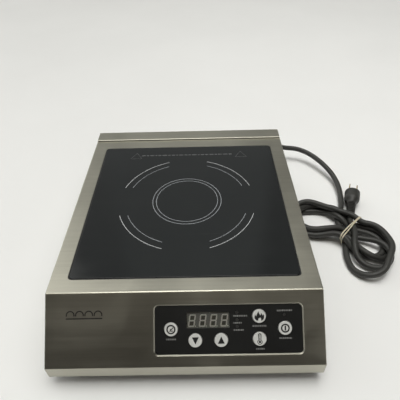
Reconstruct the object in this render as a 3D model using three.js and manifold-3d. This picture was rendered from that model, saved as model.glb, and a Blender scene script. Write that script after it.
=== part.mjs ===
// Countertop induction cooktop with a folded stainless housing, a flush glass
// plate, a sloped front with a recessed key panel, and a mains lead tied in a
// hank beside it. Millimetres, +Z up, +X to the right, +Y to the back.
// The origin is on the surface the feet stand on, under the housing's centre.
import * as THREE from 'three';
import { mergeVertices } from 'three/addons/utils/BufferGeometryUtils.js';
import Module from 'manifold-3d';

const wasm = await Module();
wasm.setup();

// ---------------------------------------------------------------- dimensions
const WIDTH = 327;            // housing, side to side
const DEPTH = 414.5;          // housing, front lip to rear wall
const Z_TOP = 96;             // steel top plane
const Z_BAND = 98.5;          // top of the rear panel's folded flange
const BAND_DEPTH = 27;        // depth of that flange, front to back
const Z_SKIRT = 17.5;         // lower edge of the housing
const Z_LIP = 35.5;           // bottom of the slope, top of the front lip
const SLOPE_RUN = 62;         // slope, measured along Y
const SHEET = 1.0;            // stainless sheet
const GAP = 0.3;              // clearance between pieces that touch

const GLASS_W = 281.2;
const GLASS_D = 280.6;
const GLASS_R = 4;
const GLASS_T = 4;
const GLASS_Y = 15.95;        // centre of the glass plate
const Z_GLASS = Z_TOP + 0.3;  // cooking surface
const SEAL_GAP = 1.8;         // glass edge to steel edge
const COIL_X = 0.6;
const COIL_Y = 16.65;

// key panel, in the slope's own plane: x across, v down from the front bend
const PANEL_X0 = -34.7;
const PANEL_X1 = 137.5;
const PANEL_V0 = 16.6;
const PANEL_V1 = 72.6;
const PANEL_R = 4.5;
const PANEL_CHAMFER = 1.4;
const N_FLANGE = -1.7;        // lower edge of the opening's turned-in flange
const N_FASCIA = -2.0;        // face of the black fascia
const FASCIA_T = 3.0;
const BUTTON_R = 8.15;
const BUTTON_HOLE_R = 8.5;
const N_BUTTON = -0.6;        // top of a key at rest
const N_SWITCH = -8.2;        // top of a tact switch's plunger
const N_STEM = -7.45;         // lower end of a key's stem at rest
const N_BOARD = -13.0;        // component side of the control board
const KEYS = [
  ['timer', -15.75, 43.85],
  ['down', 12.5, 56.9],
  ['up', 42.6, 56.9],
  ['heating', 87.3, 30.2],
  ['temperature', 87.3, 56.25],
  ['power', 117.2, 44.35],
];
const WINDOW = [2.5, 24.9, 52.6, 42.9];      // display window: x0, v0, x1, v1
const LED_LEFT = [[61.5, 25.8], [61.5, 34.2], [61.5, 41.9]];
const LED_RIGHT = [116.8, 29.2];

const FAN = [-85, 130];
const FAN_SIZE = 92;
const Z_FAN = 19.4;
const FAN_H = 25;
const FEET = [[-135, -178], [135, -178], [-135, 178], [135, 178]];

const CORD_D = 9.4;
const CORD_EXIT = [138, 46];  // x and z of the lead's exit in the rear wall
const PLUG_AT = [273.5, 64, 13.6];
const PLUG_DIR = [0.336, 0.942];
const PLUG_LEN = 62;
const HANK_H = 24;
const TIE_AT = [263, 29];
const TIE_DIR = [0.7071, 0.7071];

const Y_FRONT = -DEPTH / 2;
const Y_REAR = DEPTH / 2;
const Y_BEND = Y_FRONT + SLOPE_RUN;
const SLOPE = Math.atan2(Z_TOP - Z_LIP, SLOPE_RUN);
const HALF = WIDTH / 2;

// ------------------------------------------------------------------- helpers
const V3 = THREE.Vector3;

function closed(geometry) {
  let g = geometry.clone();
  for (const name of Object.keys(g.attributes)) if (name !== 'position') g.deleteAttribute(name);
  g = mergeVertices(g, 1e-4);
  const p = g.attributes.position.array;
  const src = g.index.array;
  const out = [];
  let vol = 0;
  for (let i = 0; i < src.length; i += 3) {
    const [a, b, c] = [src[i], src[i + 1], src[i + 2]];
    if (a === b || b === c || a === c) continue;
    out.push(a, b, c);
    const A = new V3().fromArray(p, a * 3), B = new V3().fromArray(p, b * 3), C = new V3().fromArray(p, c * 3);
    vol += A.dot(B.cross(C)) / 6;
  }
  if (vol < 0) for (let i = 0; i < out.length; i += 3) [out[i], out[i + 1]] = [out[i + 1], out[i]];
  const r = new THREE.BufferGeometry();
  r.setAttribute('position', new THREE.BufferAttribute(new Float32Array(p), 3));
  r.setIndex(out);
  r.computeVertexNormals();
  return r;
}

function solid(geometry) {
  const g = closed(geometry);
  return new wasm.Manifold(new wasm.Mesh({
    numProp: 3,
    vertProperties: new Float32Array(g.attributes.position.array),
    triVerts: new Uint32Array(g.index.array),
  }));
}

function geometryOf(manifold) {
  const m = manifold.getMesh();
  const g = new THREE.BufferGeometry();
  g.setAttribute('position', new THREE.BufferAttribute(new Float32Array(m.vertProperties), 3));
  g.setIndex(Array.from(m.triVerts));
  g.computeVertexNormals();
  return g;
}

const join = (first, ...rest) => rest.reduce((a, g) => a.add(solid(g)), solid(first));
const cut = (body, ...tools) => tools.reduce((a, g) => a.subtract(solid(g)), body);

function box(x0, y0, z0, x1, y1, z1) {
  return new THREE.BoxGeometry(x1 - x0, y1 - y0, z1 - z0)
    .translate((x0 + x1) / 2, (y0 + y1) / 2, (z0 + z1) / 2);
}

function rod(x, y, r, z0, z1, sides = 24, rTop = r) {
  return new THREE.CylinderGeometry(rTop, r, z1 - z0, sides).rotateX(Math.PI / 2)
    .translate(x, y, (z0 + z1) / 2);
}

function turned(profile, sides = 24) {          // profile: [radius, z] pairs
  return new THREE.LatheGeometry(profile.map(([r, z]) => new THREE.Vector2(r, z)), sides).rotateX(Math.PI / 2);
}

function roundRect(x0, y0, x1, y1, r, steps = 4, path = new THREE.Shape()) {
  const pts = [];
  for (const [cx, cy, a0] of [[x1 - r, y1 - r, 0], [x0 + r, y1 - r, 90], [x0 + r, y0 + r, 180], [x1 - r, y0 + r, 270]]) {
    for (let i = 0; i <= steps; i++) {
      const a = (a0 + 90 * i / steps) * Math.PI / 180;
      pts.push(new THREE.Vector2(cx + r * Math.cos(a), cy + r * Math.sin(a)));
    }
  }
  path.setFromPoints(pts);
  return path;
}

function disc(x, y, r, sides = 24, path = new THREE.Shape()) {
  const pts = [];
  for (let i = 0; i < sides; i++) {
    const a = 2 * Math.PI * i / sides;
    pts.push(new THREE.Vector2(x + r * Math.cos(a), y + r * Math.sin(a)));
  }
  path.setFromPoints(pts);
  return path;
}

function prism(shape, z0, z1) {
  return new THREE.ExtrudeGeometry(shape, { depth: z1 - z0, bevelEnabled: false, steps: 1 }).translate(0, 0, z0);
}

// A polygon whose corners are eased to the radius given with each of them.
function eased(corners, steps = 4) {
  const pts = [];
  const n = corners.length;
  for (let i = 0; i < n; i++) {
    const [x, y, r = 0] = corners[i];
    if (!r) { pts.push(new THREE.Vector2(x, y)); continue; }
    const P = new THREE.Vector2(x, y);
    const a = new THREE.Vector2(corners[(i + n - 1) % n][0], corners[(i + n - 1) % n][1]).sub(P).normalize();
    const b = new THREE.Vector2(corners[(i + 1) % n][0], corners[(i + 1) % n][1]).sub(P).normalize();
    const half = Math.acos(Math.max(-1, Math.min(1, a.dot(b)))) / 2;
    const t = r / Math.tan(half);
    const C = P.clone().add(a.clone().add(b).normalize().multiplyScalar(r / Math.sin(half)));
    const s = P.clone().addScaledVector(a, t).sub(C);
    const e = P.clone().addScaledVector(b, t).sub(C);
    const s0 = Math.atan2(s.y, s.x);
    let turn = Math.atan2(e.y, e.x) - s0;
    while (turn > Math.PI) turn -= 2 * Math.PI;
    while (turn < -Math.PI) turn += 2 * Math.PI;
    for (let k = 0; k <= steps; k++) {
      const t2 = s0 + turn * k / steps;
      pts.push(new THREE.Vector2(C.x + r * Math.cos(t2), C.y + r * Math.sin(t2)));
    }
  }
  return new THREE.Shape(pts);
}

// A side profile drawn in Y and Z, extruded across X.
const ACROSS = new THREE.Matrix4().makeBasis(new V3(0, 1, 0), new V3(0, 0, 1), new V3(1, 0, 0));
function across(shape, x0, x1, ease = 0) {
  const g = new THREE.ExtrudeGeometry(shape, ease
    ? { depth: x1 - x0 - 2 * ease, bevelEnabled: true, bevelThickness: ease, bevelSize: ease, bevelOffset: -ease, bevelSegments: 3, steps: 1 }
    : { depth: x1 - x0, bevelEnabled: false, steps: 1 });
  return g.translate(0, 0, x0 + ease).applyMatrix4(ACROSS);
}

// A round body with a changing radius along a curve.
function lofted(points, radii, sides = 14) {
  const curve = new THREE.CatmullRomCurve3(points.map((p) => new V3(...p)), false, 'centripetal');
  const n = radii.length;
  const pos = [];
  const idx = [];
  const frames = curve.computeFrenetFrames(n - 1, false);
  for (let i = 0; i < n; i++) {
    const c = curve.getPointAt(i / (n - 1));
    for (let k = 0; k < sides; k++) {
      const a = 2 * Math.PI * k / sides;
      const d = frames.normals[i].clone().multiplyScalar(Math.cos(a)).addScaledVector(frames.binormals[i], Math.sin(a));
      c.clone().addScaledVector(d, radii[i]).toArray(pos, pos.length);
    }
  }
  for (let i = 0; i < n - 1; i++) {
    for (let k = 0; k < sides; k++) {
      const a = i * sides + k, b = i * sides + (k + 1) % sides, c = a + sides, d = b + sides;
      idx.push(a, b, d, a, d, c);
    }
  }
  for (let k = 1; k < sides - 1; k++) {
    idx.push(0, k + 1, k);
    idx.push((n - 1) * sides, (n - 1) * sides + k, (n - 1) * sides + k + 1);
  }
  const g = new THREE.BufferGeometry();
  g.setAttribute('position', new THREE.BufferAttribute(new Float32Array(pos), 3));
  g.setIndex(idx);
  return g;
}

function tube(points, radius, steps, sides = 10) {
  const curve = new THREE.CatmullRomCurve3(points.map((p) => new V3(...p)), false, 'centripetal');
  return new THREE.ExtrudeGeometry(disc(0, 0, radius, sides), { steps, extrudePath: curve, bevelEnabled: false });
}

const cooktop = new THREE.Group();
const panel = new THREE.Group();      // the slope's plane: x, up the slope, outward
panel.position.set(0, Y_BEND, Z_TOP);
panel.rotation.x = SLOPE;
cooktop.add(panel);

const LOOK = {
  steel: [0x9a978a, 0.38, 0.9],
  galvanised: [0x8d9090, 0.5, 0.8],
  glass: [0x1a1c1d, 0.08, 0],
  seal: [0x1c1c1c, 0.6, 0],
  fascia: [0x202021, 0.35, 0],
  key: [0xd6d6cd, 0.4, 0.2],
  smoked: [0x55585a, 0.2, 0],
  display: [0x3a3d3e, 0.5, 0],
  board: [0x2c5a38, 0.6, 0],
  black: [0x1e1e1e, 0.6, 0],
  copper: [0xa8662e, 0.45, 0.7],
  ferrite: [0x35353a, 0.7, 0],
  mica: [0xcfc6ae, 0.7, 0],
  aluminium: [0xb8babd, 0.4, 0.9],
  film: [0xa83a2c, 0.5, 0],
  rubber: [0x232323, 0.85, 0],
  cord: [0x35352f, 0.6, 0],
  brass: [0xc9b676, 0.3, 0.9],
  zinc: [0xb5b5b2, 0.35, 0.9],
  band: [0xb8ac92, 0.8, 0],
  clear: [0xe4e6e2, 0.2, 0],
  ribbon: [0x9a9a98, 0.6, 0],
};

function add(name, shape, look, parent = cooktop) {
  const geometry = shape instanceof THREE.BufferGeometry ? closed(shape) : geometryOf(shape);
  const [color, roughness, metalness] = LOOK[look];
  const mesh = new THREE.Mesh(geometry, new THREE.MeshStandardMaterial({ color, roughness, metalness }));
  mesh.name = name;
  parent.add(mesh);
  return mesh;
}

// -------------------------------------------------------------------- housing
const Y_COVER = Y_REAR - SHEET - GAP;           // the cover ends inside the rear panel
const outer = eased([
  [Y_FRONT, Z_SKIRT],
  [Y_COVER, Z_SKIRT],
  [Y_COVER, Z_TOP],
  [Y_BEND, Z_TOP, 3],
  [Y_FRONT, Z_LIP, 2.2],
], 4);
const k = SHEET * Math.tan((Math.PI / 2 - SLOPE) / 2);
const kTop = SHEET * Math.tan(SLOPE / 2);
const inner = eased([
  [Y_FRONT + SHEET, Z_SKIRT - 5],
  [Y_COVER + 5, Z_SKIRT - 5],
  [Y_COVER + 5, Z_TOP - SHEET],
  [Y_BEND + kTop, Z_TOP - SHEET, 2],
  [Y_FRONT + SHEET, Z_LIP - k, 1.2],
], 3);
const open = [GLASS_W / 2 + SEAL_GAP, GLASS_D / 2 + SEAL_GAP];
const around = (e, r) => roundRect(-open[0] - e, GLASS_Y - open[1] - e, open[0] + e, GLASS_Y + open[1] + e, r, 4);
let cover = solid(across(outer, -HALF, HALF, 1.4)).subtract(solid(across(inner, -HALF + SHEET, HALF - SHEET)));
// the glass well: a wall and a ledge pressed down from the top sheet
cover = cover.add(solid(prism(around(SHEET, GLASS_R + SEAL_GAP + SHEET), Z_GLASS - GLASS_T - 1.6, Z_TOP - 0.5)));
cover = cover.subtract(solid(prism(around(0, GLASS_R + SEAL_GAP), Z_GLASS - GLASS_T - 0.6, Z_TOP + 5)));
cover = cover.subtract(solid(prism(around(-9, 8), Z_GLASS - GLASS_T - 10, Z_TOP + 5)));
// the key panel's opening, with a turned-in flange
const toSlope = new THREE.Matrix4().makeRotationX(SLOPE).setPosition(0, Y_BEND, Z_TOP);
const slot = (e, r) => roundRect(PANEL_X0 - e, -PANEL_V1 - e, PANEL_X1 + e, -PANEL_V0 + e, r, 4);
cover = cover.add(solid(prism(slot(2.4, PANEL_R + 2.4), N_FLANGE, -0.5).applyMatrix4(toSlope)));
const bevelled = new THREE.ExtrudeGeometry(slot(0, PANEL_R), {
  depth: 3, bevelEnabled: true, bevelThickness: PANEL_CHAMFER, bevelSize: PANEL_CHAMFER, bevelSegments: 1, steps: 1,
});
cover = cover.subtract(solid(bevelled.translate(0, 0, 0.01).applyMatrix4(toSlope)));
cover = cover.subtract(solid(prism(slot(0, PANEL_R), -8, 4).applyMatrix4(toSlope)));
add('top_cover', cover, 'steel');

// rear panel: back wall with a flange folded forward over the cover
const YB0 = Y_REAR - BAND_DEPTH;
let rear = solid(across(eased([
  [YB0, Z_TOP + GAP],
  [Y_REAR - SHEET, Z_TOP + GAP],
  [Y_REAR - SHEET, Z_SKIRT + 0.8],
  [Y_REAR, Z_SKIRT + 0.8],
  [Y_REAR, Z_BAND, 1.6],
  [YB0, Z_BAND, 0.8],
], 3), -HALF + 1, HALF - 1));
rear = cut(rear, box(-HALF + 2, YB0 + SHEET, 90, HALF - 2, Y_REAR - SHEET - 0.2, Z_BAND - SHEET));
const toWall = new THREE.Matrix4().makeBasis(new V3(1, 0, 0), new V3(0, 0, 1), new V3(0, -1, 0));
for (let i = 0; i < 12; i++) {
  const x = -138 + i * 9.5;
  rear = cut(rear, prism(roundRect(x - 2, 38, x + 2, 80, 1.5, 2), -Y_REAR - 3, -Y_REAR + 5).applyMatrix4(toWall));
}
for (let i = 0; i < 8; i++) {
  const x = 8 + i * 9.5;
  rear = cut(rear, prism(roundRect(x - 2, 38, x + 2, 80, 1.5, 2), -Y_REAR - 3, -Y_REAR + 5).applyMatrix4(toWall));
}
rear = cut(rear, prism(disc(CORD_EXIT[0], CORD_EXIT[1], 8.2, 20), -Y_REAR - 3, -Y_REAR + 5).applyMatrix4(toWall));
add('rear_panel', rear, 'steel');

// base pan: floor with upturned edges, air intake under the fan, board stands
const PX = HALF - SHEET - GAP, PY = Y_COVER - GAP;
const pan = roundRect(-PX, Y_FRONT + SHEET + GAP, PX, PY, 1, 2);
let base = solid(prism(pan, Z_SKIRT + 0.5, 30));
base = cut(base, prism(roundRect(-PX + SHEET, Y_FRONT + 2 * SHEET + GAP, PX - SHEET, PY - SHEET, 1, 2), Z_SKIRT + 0.5 + SHEET, 40));
for (let i = -4; i <= 4; i++) {
  const x = FAN[0] + i * 8.6;
  const h = Math.sqrt(40 * 40 - (i * 8.6) ** 2) - 2;
  base = cut(base, prism(roundRect(x - 2.2, FAN[1] - h, x + 2.2, FAN[1] + h, 1.6, 2), 10, 25));
}
for (let i = 0; i < 9; i++) {
  const x = 30 + i * 11;
  base = cut(base, prism(roundRect(x - 2.2, -150, x + 2.2, -100, 1.6, 2), 10, 25));
}
for (const [x, y] of FEET) base = cut(base, rod(x, y, 2.4, 10, 25, 14));
const STANDS = [[-140, -120], [-17, -120], [-140, -4], [-17, -4]];
for (const [x, y] of STANDS) base = base.add(solid(rod(x, y, 3.4, Z_SKIRT + 1.2, 26.7, 12)));
add('base_pan', base, 'galvanised');

add('glass_plate', new THREE.ExtrudeGeometry(
  roundRect(-GLASS_W / 2, GLASS_Y - GLASS_D / 2, GLASS_W / 2, GLASS_Y + GLASS_D / 2, GLASS_R, 5),
  { depth: GLASS_T - 0.8, bevelEnabled: true, bevelThickness: 0.4, bevelSize: 0.4, bevelOffset: -0.4, bevelSegments: 2, steps: 1 },
).translate(0, 0, Z_GLASS - GLASS_T + 0.4), 'glass');
{
  const g = GAP, s = roundRect(-open[0] + g, GLASS_Y - open[1] + g, open[0] - g, GLASS_Y + open[1] - g, GLASS_R + SEAL_GAP - g, 5);
  s.holes.push(roundRect(-GLASS_W / 2 - g, GLASS_Y - GLASS_D / 2 - g, GLASS_W / 2 + g, GLASS_Y + GLASS_D / 2 + g, GLASS_R + g, 5, new THREE.Path()));
  add('glass_seal', prism(s, Z_GLASS - GLASS_T - 0.3, Z_TOP - 0.1), 'seal');
}

// ------------------------------------------------------------------ key panel
{
  const e = 6;
  const s = roundRect(PANEL_X0 - e, -PANEL_V1 - e, PANEL_X1 + e, -PANEL_V0 + e, 3, 2);
  for (const [, x, v] of KEYS) s.holes.push(disc(x, -v, BUTTON_HOLE_R, 28, new THREE.Path()));
  s.holes.push(roundRect(WINDOW[0] - GAP, -WINDOW[3] - GAP, WINDOW[2] + GAP, -WINDOW[1] + GAP, 0.6, 1, new THREE.Path()));
  for (const [x, v] of [...LED_LEFT, LED_RIGHT]) s.holes.push(disc(x, -v, 1.7, 12, new THREE.Path()));
  add('control_fascia', prism(s, N_FASCIA - FASCIA_T, N_FASCIA), 'fascia', panel);
}
for (const [name, x, v] of KEYS) {
  add('button_' + name, turned([
    [0, N_STEM], [2, N_STEM], [2, -6.4], [9.6, -6.4], [9.6, N_FASCIA - FASCIA_T - GAP], [BUTTON_R, N_FASCIA - FASCIA_T - GAP],
    [BUTTON_R, N_BUTTON - 0.5], [BUTTON_R - 0.5, N_BUTTON], [0, N_BUTTON],
  ], 24).translate(x, -v, 0), 'key', panel);
  add('switch_' + name, join(
    box(x - 3.1, -v - 3.1, N_BOARD + GAP, x + 3.1, -v + 3.1, N_SWITCH - 1),
    rod(x, -v, 1.7, N_SWITCH - 1.5, N_SWITCH, 12),
  ), 'black', panel);
}
add('display_window', prism(roundRect(WINDOW[0], -WINDOW[3], WINDOW[2], -WINDOW[1], 0.5, 1), N_FASCIA - 2.6, N_FASCIA - 0.2), 'smoked', panel);
{
  const [x0, v0, x1, v1] = WINDOW;
  add('led_display', join(
    box(x0 - 0.1, -v1 - 0.5, N_BOARD + GAP, x1 + 0.1, -v0 + 0.5, N_FASCIA - FASCIA_T - GAP),
  ), 'display', panel);
  const guide = (pins) => {
    const xs = pins.map((p) => p[0]), vs = pins.map((p) => p[1]);
    return pins.reduce((m, [x, v]) => m.add(solid(rod(x, -v, 1.35, N_BOARD + 1, N_FASCIA - 0.1, 12))),
      solid(box(Math.min(...xs) - 2.4, -Math.max(...vs) - 2.4, N_BOARD + GAP, Math.max(...xs) + 2.4, -Math.min(...vs) + 2.4, N_BOARD + 2.2)));
  };
  add('indicator_light_guide', guide(LED_LEFT), 'clear', panel);
  add('power_light_guide', guide([LED_RIGHT]), 'clear', panel);
}
add('control_board', box(PANEL_X0 - 4, -PANEL_V1 - 1, N_BOARD - 1.6, PANEL_X1 + 4, -PANEL_V0 + 1, N_BOARD), 'board', panel);
{
  const x0 = PANEL_X0 - 12, x1 = PANEL_X1 + 12, t = 1;
  const s = new THREE.Shape([
    [x0 - 9, -1 - GAP], [x0 - 9, -2 - GAP], [x0 - t, -2 - GAP], [x0 - t, N_BOARD - 4.6], [x1 + t, N_BOARD - 4.6], [x1 + t, -2 - GAP], [x1 + 9, -2 - GAP], [x1 + 9, -1 - GAP],
    [x1, -1 - GAP], [x1, N_BOARD - 3.6], [x0, N_BOARD - 3.6], [x0, -1 - GAP],
  ].map(([a, b]) => new THREE.Vector2(a, b)));
  // drawn in x and outward, extruded up the slope
  const up = new THREE.Matrix4().makeBasis(new V3(1, 0, 0), new V3(0, 0, 1), new V3(0, -1, 0));
  add('control_bracket', prism(s, 26, 64).applyMatrix4(up), 'galvanised', panel);
}

// ----------------------------------------------------------------------- coil
{
  const at = (g) => g.translate(COIL_X, COIL_Y, 0);
  const zM = Z_GLASS - GLASS_T - 0.4;                 // top of the mica sheet
  const mica = disc(COIL_X, COIL_Y, 98, 40);
  mica.holes.push(disc(COIL_X, COIL_Y, 14, 20, new THREE.Path()));
  add('mica_sheet', prism(mica, zM - 0.5, zM), 'mica');
  const profile = [[26, zM - 6.3]];
  for (let i = 0; i < 9; i++) {
    const r = 26 + i * 7.3;
    profile.push([r, zM - 2.2], [r + 3.65, zM - 0.9]);
  }
  profile.push([91.7, zM - 2.2], [91.7, zM - 6.3], [26, zM - 6.3]);
  add('coil_winding', at(turned(profile, 36)), 'copper');
  let former = solid(at(turned([
    [16, zM - 9.6], [97, zM - 9.6], [97, zM - 1], [94.6, zM - 1], [94.6, zM - 6.6], [24, zM - 6.6], [24, zM - 1], [20, zM - 1], [20, zM - 6.6], [16, zM - 6.6], [16, zM - 9.6],
  ], 36)));
  for (let i = 0; i < 4; i++) {
    const a = i * Math.PI / 2;
    former = former.add(solid(rod(COIL_X + 88 * Math.cos(a), COIL_Y + 88 * Math.sin(a), 4, Z_SKIRT + 1.8, zM - 9, 12)));
  }
  add('coil_former', former, 'black');
  for (let i = 0; i < 4; i++) {
    const g = box(24, -8, zM - 15.5, 84, 8, zM - 9.9).rotateZ(Math.PI / 4 + i * Math.PI / 2);
    add('ferrite_bar_' + (i + 1), at(g), 'ferrite');
  }
  add('glass_thermistor', at(turned([[0, zM - 3.2], [6, zM - 3.2], [6, zM - 0.2], [5, zM + 0.1], [0, zM + 0.1]], 20)), 'aluminium');
  const helix = [];
  for (let i = 0; i <= 40; i++) {
    const a = i * 2 * Math.PI / 10;
    helix.push([COIL_X + 5 * Math.cos(a), COIL_Y + 5 * Math.sin(a), zM - 12.6 + 8.4 * i / 40]);
  }
  add('thermistor_spring', tube(helix, 0.45, 60, 6), 'zinc');
}

// -------------------------------------------------------------- power section
const ZB = 28.6;
add('power_board', box(-145, -125, 27, -12, 1, ZB), 'board');
{
  const z0 = ZB + GAP;
  const teeth = [[-142, z0], [-62, z0], [-62, z0 + 38]];
  for (let i = 0; i < 8; i++) {
    const x = -64.5 - i * 9.6875;
    teeth.push([x, z0 + 38], [x, z0 + 5], [x - 7.1875, z0 + 5], [x - 7.1875, z0 + 38]);
  }
  teeth.push([-142, z0 + 38]);
  const up = new THREE.Matrix4().makeBasis(new V3(1, 0, 0), new V3(0, 0, 1), new V3(0, -1, 0));
  add('heatsink', prism(new THREE.Shape(teeth.map(([a, b]) => new THREE.Vector2(a, b))), 8, 62).applyMatrix4(up), 'aluminium');
  add('power_transistor', box(-61.7, -40, z0, -56.7, -24, z0 + 21), 'black');
  add('bridge_rectifier', box(-61.7, -60, z0, -56.2, -42, z0 + 18), 'black');
  add('smoothing_capacitor', box(-50, -32, z0, -18, -12, z0 + 27), 'film');
  add('resonant_capacitor', box(-53, -62, z0, -15, -38, z0 + 33), 'film');
  add('filter_choke', turned([[8, z0], [15, z0], [16, z0 + 3], [16, z0 + 10], [15, z0 + 13], [8, z0 + 13], [7, z0 + 10], [7, z0 + 3], [8, z0]], 20).translate(-37, -96, 0), 'copper');
}
{
  const c = [[-116.5, ZB + GAP], [-117, 38], [-124, 52], [-134, 64], [-147.6, 70.6]];
  const pts = c.map(([y, z]) => new V3(0, y, z));
  const curve = new THREE.CatmullRomCurve3(pts, false, 'centripetal').getPoints(14);
  const up = [], down = [];
  curve.forEach((p, i) => {
    const q = curve[Math.min(i + 1, curve.length - 1)].clone().sub(curve[Math.max(i - 1, 0)]).normalize();
    up.push(new THREE.Vector2(p.y - q.z * 0.5, p.z + q.y * 0.5));
    down.unshift(new THREE.Vector2(p.y + q.z * 0.5, p.z - q.y * 0.5));
  });
  add('ribbon_cable', across(new THREE.Shape([...up, ...down]), -34, -18), 'ribbon');
}
add('coil_lead', tube([[-70, -60, 86], [-71, -61.5, 78], [-67, -66, 60], [-62, -72, 42], [-61, -73, ZB + GAP + 1]], 1.5, 12, 8), 'copper');

// ------------------------------------------------------------------------ fan
{
  const [x, y] = FAN, h = FAN_SIZE / 2;
  const s = roundRect(x - h, y - h, x + h, y + h, 5, 3);
  s.holes.push(disc(x, y, 43.5, 36, new THREE.Path()));
  let frame = solid(prism(s, Z_FAN, Z_FAN + FAN_H));
  frame = frame.add(solid(rod(x, y, 18, Z_FAN, Z_FAN + 3.2, 24)));
  for (let i = 0; i < 3; i++) {
    frame = frame.add(solid(box(10, -2, Z_FAN, 44.2, 2, Z_FAN + 3).rotateZ(0.5 + i * 2 * Math.PI / 3).translate(x, y, 0)));
  }
  frame = cut(frame, rod(x, y, 1.9, 10, 30, 12));
  add('fan_frame', frame, 'black');
  let rotor = solid(turned([[0, Z_FAN + 4], [18, Z_FAN + 4], [18.5, Z_FAN + 20], [16.5, Z_FAN + 22.5], [0, Z_FAN + 22.5]], 24));
  rotor = rotor.add(solid(rod(0, 0, 1.5, Z_FAN + 0.6, Z_FAN + 5, 12)));
  for (let i = 0; i < 7; i++) {
    const blade = new THREE.BoxGeometry(28, 22, 1.6).rotateX(0.72).translate(29, 0, Z_FAN + 13).rotateZ(i * 2 * Math.PI / 7);
    rotor = rotor.add(solid(blade));
  }
  rotor = rotor.intersect(solid(rod(0, 0, 41.8, Z_FAN + 0.5, Z_FAN + 23, 36)));
  add('fan_rotor', geometryOf(rotor).translate(x, y, 0), 'black');
}

// ----------------------------------------------------------------------- feet
FEET.forEach(([x, y], i) => {
  const z = Z_SKIRT + 0.5 - GAP;
  add('foot_' + (i + 1), turned([
    [2.6, 7], [5.4, 7], [5.4, 0], [12.4, 0], [13.4, 1.2], [15, z], [2.6, z], [2.6, 7],
  ], 20).translate(x, y, 0), 'rubber');
  add('foot_screw_' + (i + 1), turned([[0, 3.7], [4.2, 3.7], [4.8, 4.6], [4.8, 6.7], [2, 6.7], [2, 24], [0, 24]], 12).translate(x, y, 0), 'zinc');
});

// ----------------------------------------------------------------------- lead
const [CX, CZ] = CORD_EXIT;
const BOOT = [
  [CX, Y_REAR + 2.4, CZ], [CX, Y_REAR + 6, CZ], [CX + 1.2, Y_REAR + 15, 45.6], [CX + 5.5, Y_REAR + 24.5, 44.4], [CX + 12, Y_REAR + 32, 42.6],
];
const LEAD = [
  [150.6, 239.85, 42.4], [153.3, 242.6, 41.7], [161.5, 246.8, 39], [175, 249, 33.8], [191.6, 249.6, 27], [204, 250.6, 25.6], [218, 248.6, 24], [231.9, 241, 22],
  [244, 228.5, 19.8], [255.8, 211, 17.2], [266, 191.3, 14.8], [273.3, 172.4, 12.4], [275.9, 149, 9.8], [274.9, 127.4, 7.8], [270.4, 105, 6.0],
  [267.3, 91.5, 5.4], [264.72, 80.1, 5.2],
];
{
  let gland = solid(lofted(BOOT, [7.1, 6.95, 6.8, 6.6, 6.35, 6.1, 5.85, 5.65], 16));
  gland = gland.add(solid(new THREE.CylinderGeometry(7.9, 7.9, 9, 20).translate(CX, Y_REAR - 1.2, CZ)));
  gland = gland.add(solid(new THREE.CylinderGeometry(10.5, 10.5, 2.4, 20).translate(CX, Y_REAR + GAP + 1.2, CZ)));
  gland = gland.add(solid(new THREE.CylinderGeometry(10.5, 10.5, 2, 20).translate(CX, Y_REAR - SHEET - GAP - 1, CZ)));
  add('cord_gland', gland, 'black');
}
add('cord_lead', tube(LEAD, CORD_D / 2, 34, 10), 'cord');

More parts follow.
